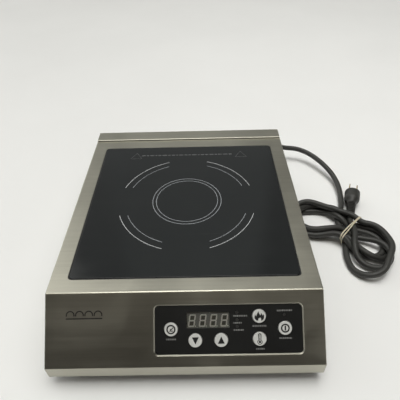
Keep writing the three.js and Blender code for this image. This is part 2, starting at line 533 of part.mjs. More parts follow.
const HANK = [
  [170.5, 64], [171.5, 47], [178, 32], [190, 21], [206, 14.5], [224, 9.5], [236, 1], [237.5, -14], [237.5, -31], [240.5, -48], [247.5, -62],
  [257.5, -71], [270, -74], [283, -71], [295.5, -61.5], [307, -47], [316.5, -29], [323, -10], [326, 10], [325.5, 32], [320, 48], [310, 57.5],
  [297, 60.8], [283, 60.6], [266.6, 66.5], [270, 77.8], [258.6, 81.2], [251, 90], [238, 100], [220, 107], [201, 108], [184, 100], [174, 84],
];
{
  const a = Math.atan2(TIE_DIR[1], TIE_DIR[0]);
  const place = (g) => g.rotateZ(a).translate(TIE_AT[0], TIE_AT[1], 0);
  const L = 31, w = 2.2, t = 1.4;
  const ring = solid(place(box(-L - t, -w, 0.4, L + t, w, HANK_H))).subtract(solid(place(box(-L, -w - 1, 0.4 + t, L, w + 1, HANK_H - t))));
  const room = solid(place(box(-L - t - GAP, -w - GAP, -2, L + t + GAP, w + GAP, HANK_H + 4)))
    .subtract(solid(place(box(-L + GAP, -w - 2, 0.4 + t + GAP, L - GAP, w + 2, HANK_H - t - GAP))));
  const hank = solid(prism(new THREE.Shape(HANK.map(([x, y]) => new THREE.Vector2(x, y))), 0.2, HANK_H));
  add('cord_hank', hank.subtract(room), 'cord');
  add('cord_tie', ring, 'band');
}
{
  // the plug lies along its own axis; u is along it, s to its side, z up
  const u = new V3(PLUG_DIR[0], PLUG_DIR[1], 0).normalize();
  const s = new V3(u.y, -u.x, 0);
  const at = new THREE.Matrix4().makeBasis(s, new V3(0, 0, 1), u.clone().negate());
  // local +x is to the side, +y up, -z along the plug
  const put = (g) => g.applyMatrix4(at).translate(...PLUG_AT);
  const along = (profile, sides) => new THREE.LatheGeometry(profile.map(([r, z]) => new THREE.Vector2(r, z)), sides).rotateX(-Math.PI / 2);
  const body = put(along([
    [0, 0.6], [6.0, 0.6], [6.9, 28], [7.4, 33], [10.5, 37], [12.8, 41], [13.3, 46], [13.3, 60.5], [12, PLUG_LEN], [0, PLUG_LEN],
  ], 20));
  add('plug_body', body, 'black');
  const z0 = -PLUG_LEN - GAP, z1 = -PLUG_LEN - 18;
  add('plug_blade_left', put(box(-6.35 - 0.8, -0.2, z1, -6.35 + 0.8, 6.2, z0)), 'brass');
  add('plug_blade_right', put(box(6.35 - 0.8, -0.2, z1, 6.35 + 0.8, 6.2, z0)), 'brass');
  add('plug_ground_pin', put(along([[0, -z0], [2.4, -z0], [2.4, -z1 + 1.5], [1.4, -z1 + 3.2], [0, -z1 + 3.2]], 14).translate(0, -8.6, 0)), 'brass');
}

export default cooktop;
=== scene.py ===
import bpy
import bmesh
import math
import numpy as np
from mathutils import Matrix, Vector
from mathutils.geometry import tessellate_polygon


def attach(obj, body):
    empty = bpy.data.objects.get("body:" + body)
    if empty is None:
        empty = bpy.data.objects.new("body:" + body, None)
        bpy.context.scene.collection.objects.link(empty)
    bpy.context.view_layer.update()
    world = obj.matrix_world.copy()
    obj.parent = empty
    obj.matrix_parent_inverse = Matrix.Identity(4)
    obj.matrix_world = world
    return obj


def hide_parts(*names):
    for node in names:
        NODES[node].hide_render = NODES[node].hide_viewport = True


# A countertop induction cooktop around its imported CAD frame.
# Lengths in the tables are millimetres; everything built is in metres.
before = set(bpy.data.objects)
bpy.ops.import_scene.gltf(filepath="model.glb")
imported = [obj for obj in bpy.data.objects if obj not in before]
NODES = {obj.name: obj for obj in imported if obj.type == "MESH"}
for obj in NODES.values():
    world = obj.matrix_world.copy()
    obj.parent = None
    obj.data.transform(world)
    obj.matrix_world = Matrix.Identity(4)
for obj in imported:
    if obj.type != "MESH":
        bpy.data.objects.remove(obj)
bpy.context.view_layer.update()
MM = 0.001
scene = bpy.context.scene
scene.view_settings.view_transform = "Standard"
scene.view_settings.look = "None"

# --------------------------------------------------------------------- camera
cam_data = bpy.data.cameras.new("camera")
cam_data.sensor_width = 36.0
cam_data.lens = 35.595
cam_data.clip_start = 0.01
cam = bpy.data.objects.new("camera", cam_data)
scene.collection.objects.link(cam)
pitch, yaw, roll = (math.radians(a) for a in (41.1606, 0.81335, -1.68055))
turn = Matrix.Rotation(yaw, 3, "Z")
fwd = turn @ Vector((0, math.cos(pitch), -math.sin(pitch)))
up = turn @ Vector((0, math.sin(pitch), math.cos(pitch)))
right = turn @ Vector((1, 0, 0))
r2 = right * math.cos(roll) + up * math.sin(roll)
u2 = -right * math.sin(roll) + up * math.cos(roll)
cam.matrix_world = Matrix((
    (r2.x, u2.x, -fwd.x, 0.026056),
    (r2.y, u2.y, -fwd.y, -0.423633),
    (r2.z, u2.z, -fwd.z, 0.480722),
    (0, 0, 0, 1)))
scene.camera = cam

# ---------------------------------------------------------- cord, its route in mm
# from the end of the boot in the rear wall, round the right-hand side, then four
# right-hand and three left-hand turns of the hank, and up into the plug
ROUTE = np.array([
    (150.60, 239.85, 42.40), (153.32, 242.69, 41.68), (156.39, 245.08, 40.79), (159.74, 247.01, 39.65),
    (163.28, 248.48, 38.21), (166.95, 249.56, 36.56), (170.68, 250.31, 34.80), (174.45, 250.81, 33.03),
    (178.25, 251.13, 31.36), (182.07, 251.33, 29.88), (185.92, 251.45, 28.65), (189.78, 251.50, 27.68),
    (193.66, 251.48, 26.99), (197.56, 251.39, 26.52), (201.47, 251.20, 26.20), (205.39, 250.87, 25.97),
    (209.30, 250.36, 25.73), (213.19, 249.61, 25.43), (217.02, 248.59, 24.99), (220.77, 247.26, 24.50),
    (224.38, 245.61, 24.04), (227.85, 243.65, 23.63), (231.14, 241.41, 23.23), (234.25, 238.91, 22.86),
    (237.18, 236.21, 22.51), (239.95, 233.33, 22.16), (242.57, 230.31, 21.83), (245.05, 227.19, 21.50),
    (247.41, 223.97, 21.16), (249.68, 220.68, 20.82), (251.86, 217.33, 20.47), (253.97, 213.94, 20.09),
    (256.01, 210.51, 19.69), (257.98, 207.04, 19.24), (259.89, 203.55, 18.74), (261.74, 200.03, 18.19),
    (263.53, 196.49, 17.58), (265.26, 192.93, 16.92), (266.92, 189.34, 16.22), (268.49, 185.72, 15.49),
    (269.96, 182.06, 14.74), (271.28, 178.35, 14.00), (272.43, 174.57, 13.29), (273.41, 170.74, 12.62),
    (274.20, 166.86, 12.00), (274.83, 162.94, 11.44), (275.30, 158.99, 10.93), (275.64, 155.02, 10.46),
    (275.85, 151.04, 10.03), (275.94, 147.06, 9.62), (275.92, 143.07, 9.23), (275.78, 139.08, 8.86),
    (275.53, 135.09, 8.49), (275.17, 131.12, 8.14), (274.71, 127.15, 7.80), (274.14, 123.20, 7.46),
    (273.51, 119.26, 7.15), (272.82, 115.32, 6.84), (272.09, 111.39, 6.56), (271.31, 107.47, 6.29),
    (270.47, 103.56, 6.04), (269.49, 99.68, 5.80), (268.30, 95.86, 5.58), (266.82, 92.14, 5.36),
    (265.03, 88.57, 5.17), (262.95, 85.15, 4.98), (260.72, 81.82, 4.82), (258.53, 78.47, 4.69), (256.58, 74.97, 4.62),
    (255.06, 71.26, 4.64), (253.98, 67.40, 4.68), (253.25, 63.46, 4.66), (252.75, 59.49, 4.63), (252.45, 55.49, 4.66),
    (252.29, 51.50, 4.72), (252.20, 47.50, 4.78), (252.12, 43.51, 4.84), (252.01, 39.53, 4.87), (251.86, 35.54, 4.87),
    (251.70, 31.56, 4.85), (251.56, 27.58, 4.79), (251.47, 23.60, 4.72), (251.43, 19.62, 4.65), (251.41, 15.64, 4.62),
    (251.33, 11.66, 4.67), (251.05, 7.68, 4.72), (250.45, 3.72, 4.73), (249.58, -0.19, 4.72), (248.57, -4.09, 4.71),
    (247.62, -8.03, 4.73), (246.84, -11.99, 4.74), (246.24, -15.99, 4.75), (245.84, -20.01, 4.75),
    (245.61, -24.04, 4.74), (245.57, -28.07, 4.73), (245.73, -32.10, 4.74), (246.14, -36.11, 4.78),
    (246.87, -40.08, 4.89), (248.03, -43.92, 5.13), (249.68, -47.56, 5.51), (251.82, -50.91, 6.05),
    (254.40, -53.89, 6.72), (257.37, -56.43, 7.52), (260.67, -58.48, 8.41), (264.23, -60.00, 9.37),
    (267.95, -60.95, 10.39), (271.77, -61.31, 11.43), (275.61, -61.08, 12.48), (279.37, -60.25, 13.50),
    (282.97, -58.84, 14.48), (286.34, -56.90, 15.39), (289.40, -54.46, 16.21), (292.11, -51.59, 16.93),
    (294.52, -48.43, 17.53), (296.57, -45.04, 18.01), (298.58, -41.60, 18.57), (300.66, -38.18, 19.19),
    (302.81, -34.76, 19.80), (304.99, -31.34, 20.34), (307.13, -27.90, 20.77), (309.16, -24.42, 21.06),
    (311.02, -20.88, 21.18), (312.63, -17.26, 21.13), (313.93, -13.54, 20.92), (314.88, -9.72, 20.58),
    (315.46, -5.79, 20.18), (315.69, -1.78, 19.77), (315.58, 2.29, 19.41), (315.17, 6.40, 19.12),
    (314.48, 10.49, 18.94), (313.53, 14.53, 18.84), (312.30, 18.46, 18.81), (310.80, 22.24, 18.81),
    (308.99, 25.81, 18.79), (306.86, 29.14, 18.73), (304.38, 32.17, 18.60), (301.50, 34.86, 18.38),
    (298.21, 37.13, 18.08), (294.53, 38.97, 17.74), (290.68, 40.46, 17.51), (287.16, 42.35, 17.58),
    (283.95, 44.68, 17.90), (281.08, 47.37, 18.51), (278.39, 50.19, 19.41), (275.66, 52.94, 20.47),
    (272.68, 55.55, 21.33), (269.50, 58.07, 21.64), (266.26, 60.50, 21.35), (262.99, 62.84, 20.77),
    (259.68, 65.16, 20.28), (256.35, 67.47, 20.05), (253.00, 69.77, 20.01), (249.62, 72.01, 19.96),
    (246.19, 74.17, 19.81), (242.72, 76.25, 19.60), (239.22, 78.28, 19.39), (235.71, 80.30, 19.25),
    (232.19, 82.32, 19.19), (228.67, 84.33, 19.21), (225.13, 86.31, 19.31), (221.55, 88.21, 19.49),
    (217.88, 89.95, 19.73), (214.11, 91.43, 20.00), (210.20, 92.50, 20.19), (206.19, 93.03, 20.21),
    (202.15, 93.01, 20.03), (198.17, 92.43, 19.63), (194.34, 91.32, 19.01), (190.72, 89.69, 18.22),
    (187.41, 87.56, 17.28), (184.46, 84.98, 16.25), (181.91, 82.01, 15.23), (179.75, 78.73, 14.27),
    (177.94, 75.21, 13.41), (176.45, 71.52, 12.70), (175.31, 67.68, 12.15), (174.51, 63.75, 11.73),
    (174.05, 59.75, 11.40), (173.98, 55.72, 11.10), (174.34, 51.72, 10.79), (175.17, 47.79, 10.46),
    (176.47, 43.99, 10.10), (178.22, 40.37, 9.76), (180.41, 37.00, 9.43), (183.01, 33.94, 9.14),
    (185.99, 31.25, 8.89), (189.27, 28.93, 8.74), (192.80, 26.99, 8.69), (196.50, 25.40, 8.78), (200.31, 24.13, 9.02),
    (204.18, 23.14, 9.44), (208.08, 22.37, 10.05), (211.98, 21.80, 10.83), (215.86, 21.37, 11.78),
    (219.72, 21.03, 12.86), (223.55, 20.70, 14.04), (227.35, 20.24, 15.26), (231.12, 19.46, 16.40),
    (234.79, 18.19, 17.34), (238.31, 16.43, 17.99), (241.62, 14.24, 18.28), (244.70, 11.72, 18.13),
    (247.49, 8.96, 17.52), (249.92, 5.99, 16.49), (251.93, 2.86, 15.06), (253.55, -0.35, 13.33),
    (254.97, -3.58, 11.46), (256.52, -6.77, 9.62), (258.51, -9.81, 8.01), (260.95, -12.66, 6.72),
    (263.82, -15.24, 5.77), (267.04, -17.49, 5.15), (270.55, -19.31, 4.83), (274.31, -20.64, 4.71),
    (278.22, -21.41, 4.69), (282.20, -21.66, 4.70), (286.18, -21.41, 4.71), (290.08, -20.61, 4.73),
    (293.82, -19.25, 4.74), (297.31, -17.36, 4.75), (300.47, -14.96, 4.75), (303.23, -12.13, 4.73),
    (305.54, -8.91, 4.71), (307.33, -5.39, 4.69), (308.57, -1.64, 4.71), (309.22, 2.25, 4.73), (309.29, 6.19, 4.74),
    (308.75, 10.11, 4.73), (307.64, 13.90, 4.73), (305.96, 17.49, 4.73), (303.76, 20.79, 4.73), (301.10, 23.73, 4.73),
    (298.03, 26.26, 4.73), (294.70, 28.42, 4.73), (291.19, 30.31, 4.74), (287.60, 32.02, 4.75), (283.98, 33.67, 4.74),
    (280.38, 35.36, 4.72), (276.83, 37.16, 4.70), (273.36, 39.13, 4.80), (270.05, 41.29, 5.18), (266.97, 43.67, 6.00),
    (264.21, 46.21, 7.29), (261.83, 48.89, 9.00), (259.71, 51.71, 10.84), (257.55, 54.67, 12.36),
    (255.22, 57.72, 13.31), (252.77, 60.79, 13.69), (250.29, 63.86, 13.46), (247.91, 66.93, 12.65),
    (245.66, 70.00, 11.49), (243.39, 73.00, 10.18), (240.91, 75.81, 8.85), (238.07, 78.29, 7.61),
    (234.86, 80.35, 6.55), (231.33, 81.96, 5.71), (227.58, 83.10, 5.14), (223.68, 83.79, 4.84), (219.73, 84.12, 4.73),
    (215.75, 84.24, 4.70), (211.78, 84.28, 4.67), (207.80, 84.26, 4.64), (203.84, 84.03, 4.64), (199.94, 83.33, 4.69),
    (196.21, 82.05, 4.73), (192.73, 80.23, 4.76), (189.57, 77.90, 4.77), (186.82, 75.12, 4.77), (184.52, 71.96, 4.77),
    (182.74, 68.47, 4.76), (181.51, 64.75, 4.75), (180.87, 60.89, 4.74), (180.83, 56.96, 4.73), (181.39, 53.06, 4.73),
    (182.54, 49.28, 4.73), (184.24, 45.71, 4.73), (186.47, 42.43, 4.73), (189.17, 39.51, 4.73), (192.27, 37.03, 4.73),
    (195.72, 35.03, 4.73), (199.41, 33.52, 4.76), (203.25, 32.44, 4.83), (207.18, 31.69, 4.98), (211.13, 31.14, 5.23),
    (215.08, 30.66, 5.61), (219.01, 30.11, 6.12), (222.89, 29.41, 6.75), (226.71, 28.50, 7.51), (230.43, 27.37, 8.42),
    (234.06, 26.03, 9.43), (237.60, 24.51, 10.51), (241.08, 22.85, 11.59), (244.52, 21.04, 12.57),
    (247.91, 19.05, 13.28), (251.21, 16.83, 13.51), (254.33, 14.38, 13.21), (257.13, 11.64, 12.51),
    (259.49, 8.53, 11.74), (261.46, 5.10, 11.27), (263.12, 1.49, 11.27), (264.46, -2.22, 11.77),
    (265.53, -5.98, 12.61), (266.63, -9.71, 13.47), (268.15, -13.33, 14.05), (270.14, -16.72, 14.32),
    (272.56, -19.82, 14.30), (275.36, -22.54, 13.99), (278.47, -24.81, 13.42), (281.83, -26.58, 12.60),
    (285.37, -27.80, 11.57), (289.01, -28.43, 10.38), (292.68, -28.46, 9.09), (296.30, -27.88, 7.78),
    (299.82, -26.70, 6.53), (303.18, -24.97, 5.46), (306.36, -22.75, 4.69), (309.35, -20.15, 4.36),
    (312.06, -17.19, 4.40), (314.35, -13.91, 4.71), (316.14, -10.35, 5.19), (317.39, -6.59, 5.83),
    (318.10, -2.71, 6.56), (318.32, 1.23, 7.34), (318.09, 5.18, 8.11), (317.45, 9.10, 8.79), (316.45, 12.97, 9.32),
    (315.08, 16.74, 9.66), (313.35, 20.37, 9.81), (311.26, 23.82, 9.80), (308.85, 27.05, 9.69), (306.14, 30.03, 9.51),
    (303.14, 32.72, 9.26), (299.91, 35.09, 8.92), (296.49, 37.20, 8.49), (292.98, 39.12, 7.96), (289.44, 40.95, 7.33),
    (285.93, 42.83, 6.64), (282.55, 44.91, 5.94), (279.32, 47.23, 5.30), (276.26, 49.82, 4.81), (273.41, 52.67, 4.58),
    (270.80, 55.72, 4.71), (268.41, 58.88, 5.39), (266.24, 62.03, 6.63), (264.33, 65.11, 8.39),
    (262.45, 68.10, 10.34), (260.33, 71.07, 12.06), (257.86, 73.99, 13.32), (255.06, 76.79, 14.09),
    (251.95, 79.34, 14.41), (248.58, 81.58, 14.34), (245.06, 83.55, 13.98), (241.46, 85.31, 13.44),
    (237.80, 86.90, 12.79), (234.08, 88.33, 12.11), (230.29, 89.57, 11.47), (226.41, 90.57, 10.93),
    (222.45, 91.26, 10.57), (218.44, 91.55, 10.48), (214.43, 91.35, 10.69), (210.52, 90.64, 11.19),
    (206.78, 89.41, 11.92), (203.27, 87.68, 12.80), (199.98, 85.60, 13.74), (196.84, 83.30, 14.70),
    (193.83, 80.85, 15.64), (190.94, 78.23, 16.52), (188.23, 75.40, 17.28), (185.76, 72.31, 17.83),
    (183.69, 68.93, 18.16), (182.10, 65.29, 18.26), (181.04, 61.45, 18.19), (180.55, 57.51, 18.00),
    (180.65, 53.54, 17.72), (181.35, 49.64, 17.41), (182.61, 45.88, 17.08), (184.43, 42.35, 16.78),
    (186.75, 39.12, 16.53), (189.53, 36.27, 16.36), (192.71, 33.84, 16.29), (196.20, 31.89, 16.37),
    (199.92, 30.43, 16.60), (203.77, 29.41, 16.93), (207.71, 28.77, 17.35), (211.68, 28.46, 17.82),
    (215.67, 28.39, 18.29), (219.66, 28.48, 18.70), (223.65, 28.66, 19.02), (227.66, 28.87, 19.22),
    (231.67, 29.07, 19.27), (235.68, 29.22, 19.15), (239.69, 29.25, 18.81), (243.65, 29.02, 18.18),
    (247.49, 28.40, 17.20), (251.12, 27.31, 15.91), (254.52, 25.79, 14.40), (257.77, 23.99, 12.84),
    (261.01, 22.08, 11.41), (264.35, 20.15, 10.30), (267.84, 18.30, 9.62), (271.44, 16.55, 9.35),
    (275.12, 14.92, 9.42), (278.81, 13.36, 9.75), (282.49, 11.83, 10.25), (286.14, 10.28, 10.87),
    (289.74, 8.63, 11.54), (293.27, 6.83, 12.21), (296.68, 4.79, 12.83), (299.91, 2.45, 13.33),
    (302.86, -0.24, 13.65), (305.44, -3.31, 13.76), (307.57, -6.70, 13.66), (309.19, -10.35, 13.41),
    (310.25, -14.19, 13.15), (310.72, -18.15, 12.94), (310.61, -22.11, 12.62), (309.91, -25.97, 12.17),
    (308.64, -29.66, 11.61), (306.82, -33.09, 10.98), (304.49, -36.19, 10.32), (301.70, -38.88, 9.65),
    (298.52, -41.12, 9.02), (295.02, -42.85, 8.43), (291.28, -44.02, 7.93), (287.39, -44.62, 7.52),
    (283.43, -44.63, 7.22), (279.50, -44.06, 7.08), (275.68, -42.93, 7.09), (272.07, -41.26, 7.27),
    (268.73, -39.09, 7.64), (265.75, -36.50, 8.21), (263.19, -33.54, 9.01), (261.09, -30.30, 10.05),
    (259.49, -26.86, 11.32), (258.43, -23.30, 12.78), (257.87, -19.67, 14.36), (257.73, -16.01, 15.95),
    (257.95, -12.31, 17.43), (258.50, -8.56, 18.68), (259.33, -4.78, 19.58), (260.40, -0.97, 20.11),
    (261.62, 2.81, 20.29), (262.90, 6.59, 20.20), (264.12, 10.38, 19.92), (265.22, 14.20, 19.61),
    (266.16, 18.06, 19.32), (266.90, 21.96, 19.02), (267.45, 25.89, 18.64), (267.85, 29.82, 18.15),
    (268.16, 33.74, 17.54), (268.41, 37.65, 16.81), (268.66, 41.54, 15.98), (268.95, 45.42, 15.11),
    (269.34, 49.30, 14.29), (269.97, 53.18, 13.74), (271.01, 57.03, 13.60), (272.36, 60.80, 13.60),
    (273.70, 64.57, 13.60),
]) * MM
CORD_D = 0.0094


# -------------------------------------------------------------------- node help
class Nodes:
    """A material's node tree, with short calls for the few nodes used here."""

    def __init__(self, name):
        self.m = bpy.data.materials.new(name)
        self.m.use_nodes = True
        self.t = self.m.node_tree
        self.t.nodes.clear()
        self.out = self.t.nodes.new("ShaderNodeOutputMaterial")
        self.co = self.t.nodes.new("ShaderNodeTexCoord").outputs["Object"]

    def new(self, kind, **values):
        n = self.t.nodes.new("ShaderNode" + kind)
        for k, v in values.items():
            setattr(n, k, v)
        return n

    def join(self, a, b):
        self.t.links.new(a, b)

    def stretched(self, scale, turn=(0, 0, 0)):
        n = self.new("Mapping")
        n.inputs["Scale"].default_value = scale
        n.inputs["Rotation"].default_value = turn
        self.join(self.co, n.inputs["Vector"])
        return n.outputs[0]

    def noise(self, scale, detail=2.0, rough=0.5, vector=None, distortion=0.0):
        n = self.new("TexNoise")
        n.inputs["Scale"].default_value = scale
        n.inputs["Detail"].default_value = detail
        n.inputs["Roughness"].default_value = rough
        n.inputs["Distortion"].default_value = distortion
        self.join(self.co if vector is None else vector, n.inputs["Vector"])
        return n.outputs["Fac"]

    def cells(self, scale, vector=None):
        n = self.new("TexVoronoi")
        n.inputs["Scale"].default_value = scale
        self.join(self.co if vector is None else vector, n.inputs["Vector"])
        return n.outputs["Distance"]

    def span(self, value, a, b, lo, hi):
        n = self.new("MapRange")
        for key, v in zip(("From Min", "From Max", "To Min", "To Max"), (a, b, lo, hi)):
            n.inputs[key].default_value = v
        self.join(value, n.inputs["Value"])
        return n.outputs["Result"]

    def math(self, op, a, b):
        n = self.new("Math", operation=op)
        for s, v in zip(n.inputs, (a, b)):
            if isinstance(v, (int, float)):
                s.default_value = v
            else:
                self.join(v, s)
        return n.outputs[0]

    def ramp(self, value, stops):
        n = self.new("ValToRGB")
        e = n.color_ramp.elements
        while len(e) < len(stops):
            e.new(0.5)
        for k, (at, c) in zip(e, stops):
            k.position = at
            k.color = (*c, 1)
        self.join(value, n.inputs["Fac"])
        return n.outputs["Color"]

    def blend(self, fac, a, b, mode="MIX"):
        n = self.new("Mix", data_type="RGBA", blend_type=mode)
        if isinstance(fac, (int, float)):
            n.inputs["Factor"].default_value = fac
        else:
            self.join(fac, n.inputs["Factor"])
        for s, v in ((n.inputs[6], a), (n.inputs[7], b)):
            if isinstance(v, tuple):
                s.default_value = (*v, 1)
            else:
                self.join(v, s)
        return n.outputs[2]

    def bump(self, height, strength, distance, under=None):
        n = self.new("Bump")
        n.inputs["Strength"].default_value = strength
        n.inputs["Distance"].default_value = distance
        self.join(height, n.inputs["Height"])
        if under is not None:
            self.join(under, n.inputs["Normal"])
        return n.outputs["Normal"]

    def shader(self, color, rough, normal=None, **fixed):
        p = self.new("BsdfPrincipled")
        for key, v in (("Base Color", color), ("Roughness", rough), ("Normal", normal)):
            if v is None:
                continue
            if isinstance(v, (int, float)):
                p.inputs[key].default_value = v
            elif isinstance(v, tuple):
                p.inputs[key].default_value = (*v, 1)
            else:
                self.join(v, p.inputs[key])
        for key, v in fixed.items():
            p.inputs[key.replace("_", " ")].default_value = v
        self.join(p.outputs[0], self.out.inputs["Surface"])
        return p


def shade(c, k):
    return tuple(max(0.0, min(1.0, x * k)) for x in c)


def moulded(name, color, rough, var=0.18, grain=900, depth=0.00004, strength=0.25, rough_var=0.1, **fixed):
    """A moulded plastic or rubber: mottled, faintly grained, scuffed here and there."""
    n = Nodes(name)
    blot = n.noise(35, 4, 0.6)
    fine = n.noise(grain, 3, 0.6)
    c = n.ramp(n.math("ADD", n.math("MULTIPLY", blot, 0.7), n.math("MULTIPLY", fine, 0.3)),
               [(0.3, shade(color, 1 - var)), (0.7, shade(color, 1 + var))])
    scuff = n.noise(14, 5, 0.7, distortion=0.6)
    r = n.span(n.math("ADD", n.math("MULTIPLY", scuff, 0.6), n.math("MULTIPLY", fine, 0.4)), 0.3, 0.7,
               rough - rough_var, rough + rough_var)
    n.shader(c, r, n.bump(fine, strength, depth), **fixed)
    return n.m


def brushed(name, low, high, rough=(0.30, 0.38), smudge=0.07, strength=0.13):
    """Stainless sheet, its grain across the top and so up and down the sides, wiped and lightly handled."""
    n = Nodes(name)
    nx = n.new("SeparateXYZ")
    n.join(n.t.nodes["Texture Coordinate"].outputs["Normal"], nx.inputs[0])
    side = n.span(n.math("ABSOLUTE", nx.outputs["X"], 0), 0.55, 0.80, 0.0, 1.0)

    def grain(fine, long, detail, rough_):
        across = n.noise(1.0, detail, rough_, n.stretched((long, fine, fine)))
        down = n.noise(1.0, detail, rough_, n.stretched((fine, fine, long)))
        return n.math("ADD", n.math("MULTIPLY", across, n.math("SUBTRACT", 1.0, side)), n.math("MULTIPLY", down, side))

    hair = grain(2600, 14, 4, 0.65)
    band = grain(300, 2.6, 2, 0.5)
    cloud = n.noise(6.5, 5, 0.6, distortion=0.5)
    mix = n.math("ADD", n.math("MULTIPLY", hair, 0.34), n.math("ADD", n.math("MULTIPLY", band, 0.20), n.math("MULTIPLY", cloud, 0.46)))
    c = n.ramp(mix, [(0.36, low), (0.64, high)])
    # longer scratches, set a little off the grain, and a few rub marks
    scratch = n.noise(1.0, 1, 0.4, n.stretched((3, 900, 900), (0.05, 0.03, 0.09)))
    c = n.blend(n.span(scratch, 0.72, 0.80, 0.0, 0.22), c, shade(high, 1.12))
    rub = n.noise(48, 6, 0.72, distortion=1.2)
    c = n.blend(n.span(rub, 0.66, 0.80, 0.0, 0.22), c, shade(high, 1.2))
    r = n.math("ADD", n.span(mix, 0.38, 0.62, *rough), n.span(cloud, 0.52, 0.74, 0.0, smudge))
    b = n.bump(hair, strength, 0.00002)
    n.shader(c, r, b, Metallic=1.0)
    return n.m


def sheet_zinc(name):
    n = Nodes(name)
    spangle = n.cells(120)
    blot = n.noise(26, 4, 0.6)
    c = n.blend(0.5, n.ramp(spangle, [(0.1, (0.42, 0.44, 0.45)), (0.8, (0.60, 0.62, 0.62))]),
                n.ramp(blot, [(0.35, (0.40, 0.41, 0.41)), (0.65, (0.62, 0.63, 0.62))]))
    n.shader(c, n.span(spangle, 0.0, 0.8, 0.34, 0.55), n.bump(n.noise(420, 3), 0.2, 0.00005), Metallic=1.0)
    return n.m


def ceran():
    """Black glass ceramic: near black, very smooth, with wiping marks and fine scratches."""
    n = Nodes("glass_ceramic")
    cloud = n.noise(9, 6, 0.6, distortion=0.8)
    wipe = n.noise(1.0, 4, 0.6, n.stretched((18, 70, 20), (0, 0, 0.5)))
    fine = n.noise(1400, 2, 0.5)
    c = n.ramp(n.math("ADD", n.math("MULTIPLY", cloud, 0.6), n.math("MULTIPLY", fine, 0.4)),
               [(0.35, (0.0068, 0.0085, 0.0090)), (0.68, (0.0110, 0.0127, 0.0131))])
    hair = n.noise(1.0, 1, 0.4, n.stretched((5, 700, 5), (0, 0, 0.9)))
    c = n.blend(n.span(hair, 0.72, 0.80, 0, 0.5), c, (0.03, 0.032, 0.032))
    r = n.math("ADD", n.span(wipe, 0.35, 0.7, 0.05, 0.13), n.span(cloud, 0.5, 0.75, 0.0, 0.06))
    n.shader(c, r, n.bump(fine, 0.05, 0.00001), IOR=1.53)
    return n.m


def printed(name, color, wear=0.35, rough=0.55):
    """Screen-printed enamel, a little uneven where it has worn."""
    n = Nodes(name)
    worn = n.noise(420, 4, 0.7)
    c = n.ramp(worn, [(0.30, shade(color, 1 - wear)), (0.62, color)])
    n.shader(c, n.span(worn, 0.3, 0.7, rough - 0.08, rough + 0.08), n.bump(worn, 0.2, 0.00002))
    return n.m


def lens():
    """The smoked window: mostly clear to what lies under it, with a gloss of its own."""
    n = Nodes("smoked_window")
    clear = n.new("BsdfTransparent")
    n.join(n.ramp(n.noise(60, 3), [(0.3, (0.95, 0.95, 0.94)), (0.7, (0.98, 0.98, 0.97))]), clear.inputs["Color"])
    gloss = n.new("BsdfGlossy")
    gloss.inputs["Color"].default_value = (1, 1, 1, 1)
    n.join(n.span(n.noise(30, 5, 0.6), 0.3, 0.7, 0.06, 0.16), gloss.inputs["Roughness"])
    f = n.new("Fresnel")
    f.inputs["IOR"].default_value = 1.49
    mix = n.new("MixShader")
    n.join(f.outputs[0], mix.inputs[0])
    n.join(clear.outputs[0], mix.inputs[1])
    n.join(gloss.outputs[0], mix.inputs[2])
    n.join(mix.outputs[0], n.out.inputs["Surface"])
    return n.m


def pcb(name):
    n = Nodes(name)
    pour = n.cells(220, n.stretched((1, 1, 1)))
    track = n.noise(1.0, 1, 0.3, n.stretched((60, 900, 60)))
    c = n.ramp(n.math("ADD", n.math("MULTIPLY", pour, 0.6), n.math("MULTIPLY", track, 0.5)),
               [(0.25, (0.016, 0.075, 0.030)), (0.55, (0.024, 0.11, 0.045)), (0.8, (0.035, 0.15, 0.06))])
    n.shader(c, n.span(track, 0.3, 0.7, 0.28, 0.42), n.bump(track, 0.4, 0.00006))
    return n.m


def wound(name, centre, ring=1.2, color=(0.52, 0.22, 0.085), axis_z=True):
    """Stranded copper winding: turns about an axis, each of many fine strands."""
    n = Nodes(name)
    shift = n.new("Mapping")
    shift.inputs["Location"].default_value = (-centre[0] * MM, -centre[1] * MM, 0)
    n.join(n.co, shift.inputs["Vector"])
    w = n.new("TexWave", wave_type="RINGS", rings_direction="Z")
    w.inputs["Scale"].default_value = 260 / ring
    w.inputs["Distortion"].default_value = 0.6
    w.inputs["Detail"].default_value = 2.0
    n.join(shift.outputs[0], w.inputs["Vector"])
    f = w.outputs["Fac"]
    # each turn is painted lighter on its crest and darker in the groove between turns: painted highlight and painted
    # shade, following the bump
    c = n.ramp(f, [(0.15, shade(color, 0.45)), (0.6, color), (1.0, shade(color, 1.25))])
    n.shader(c, n.span(f, 0, 1, 0.5, 0.3), n.bump(f, 0.7, 0.0003), Metallic=0.85)
    return n.m


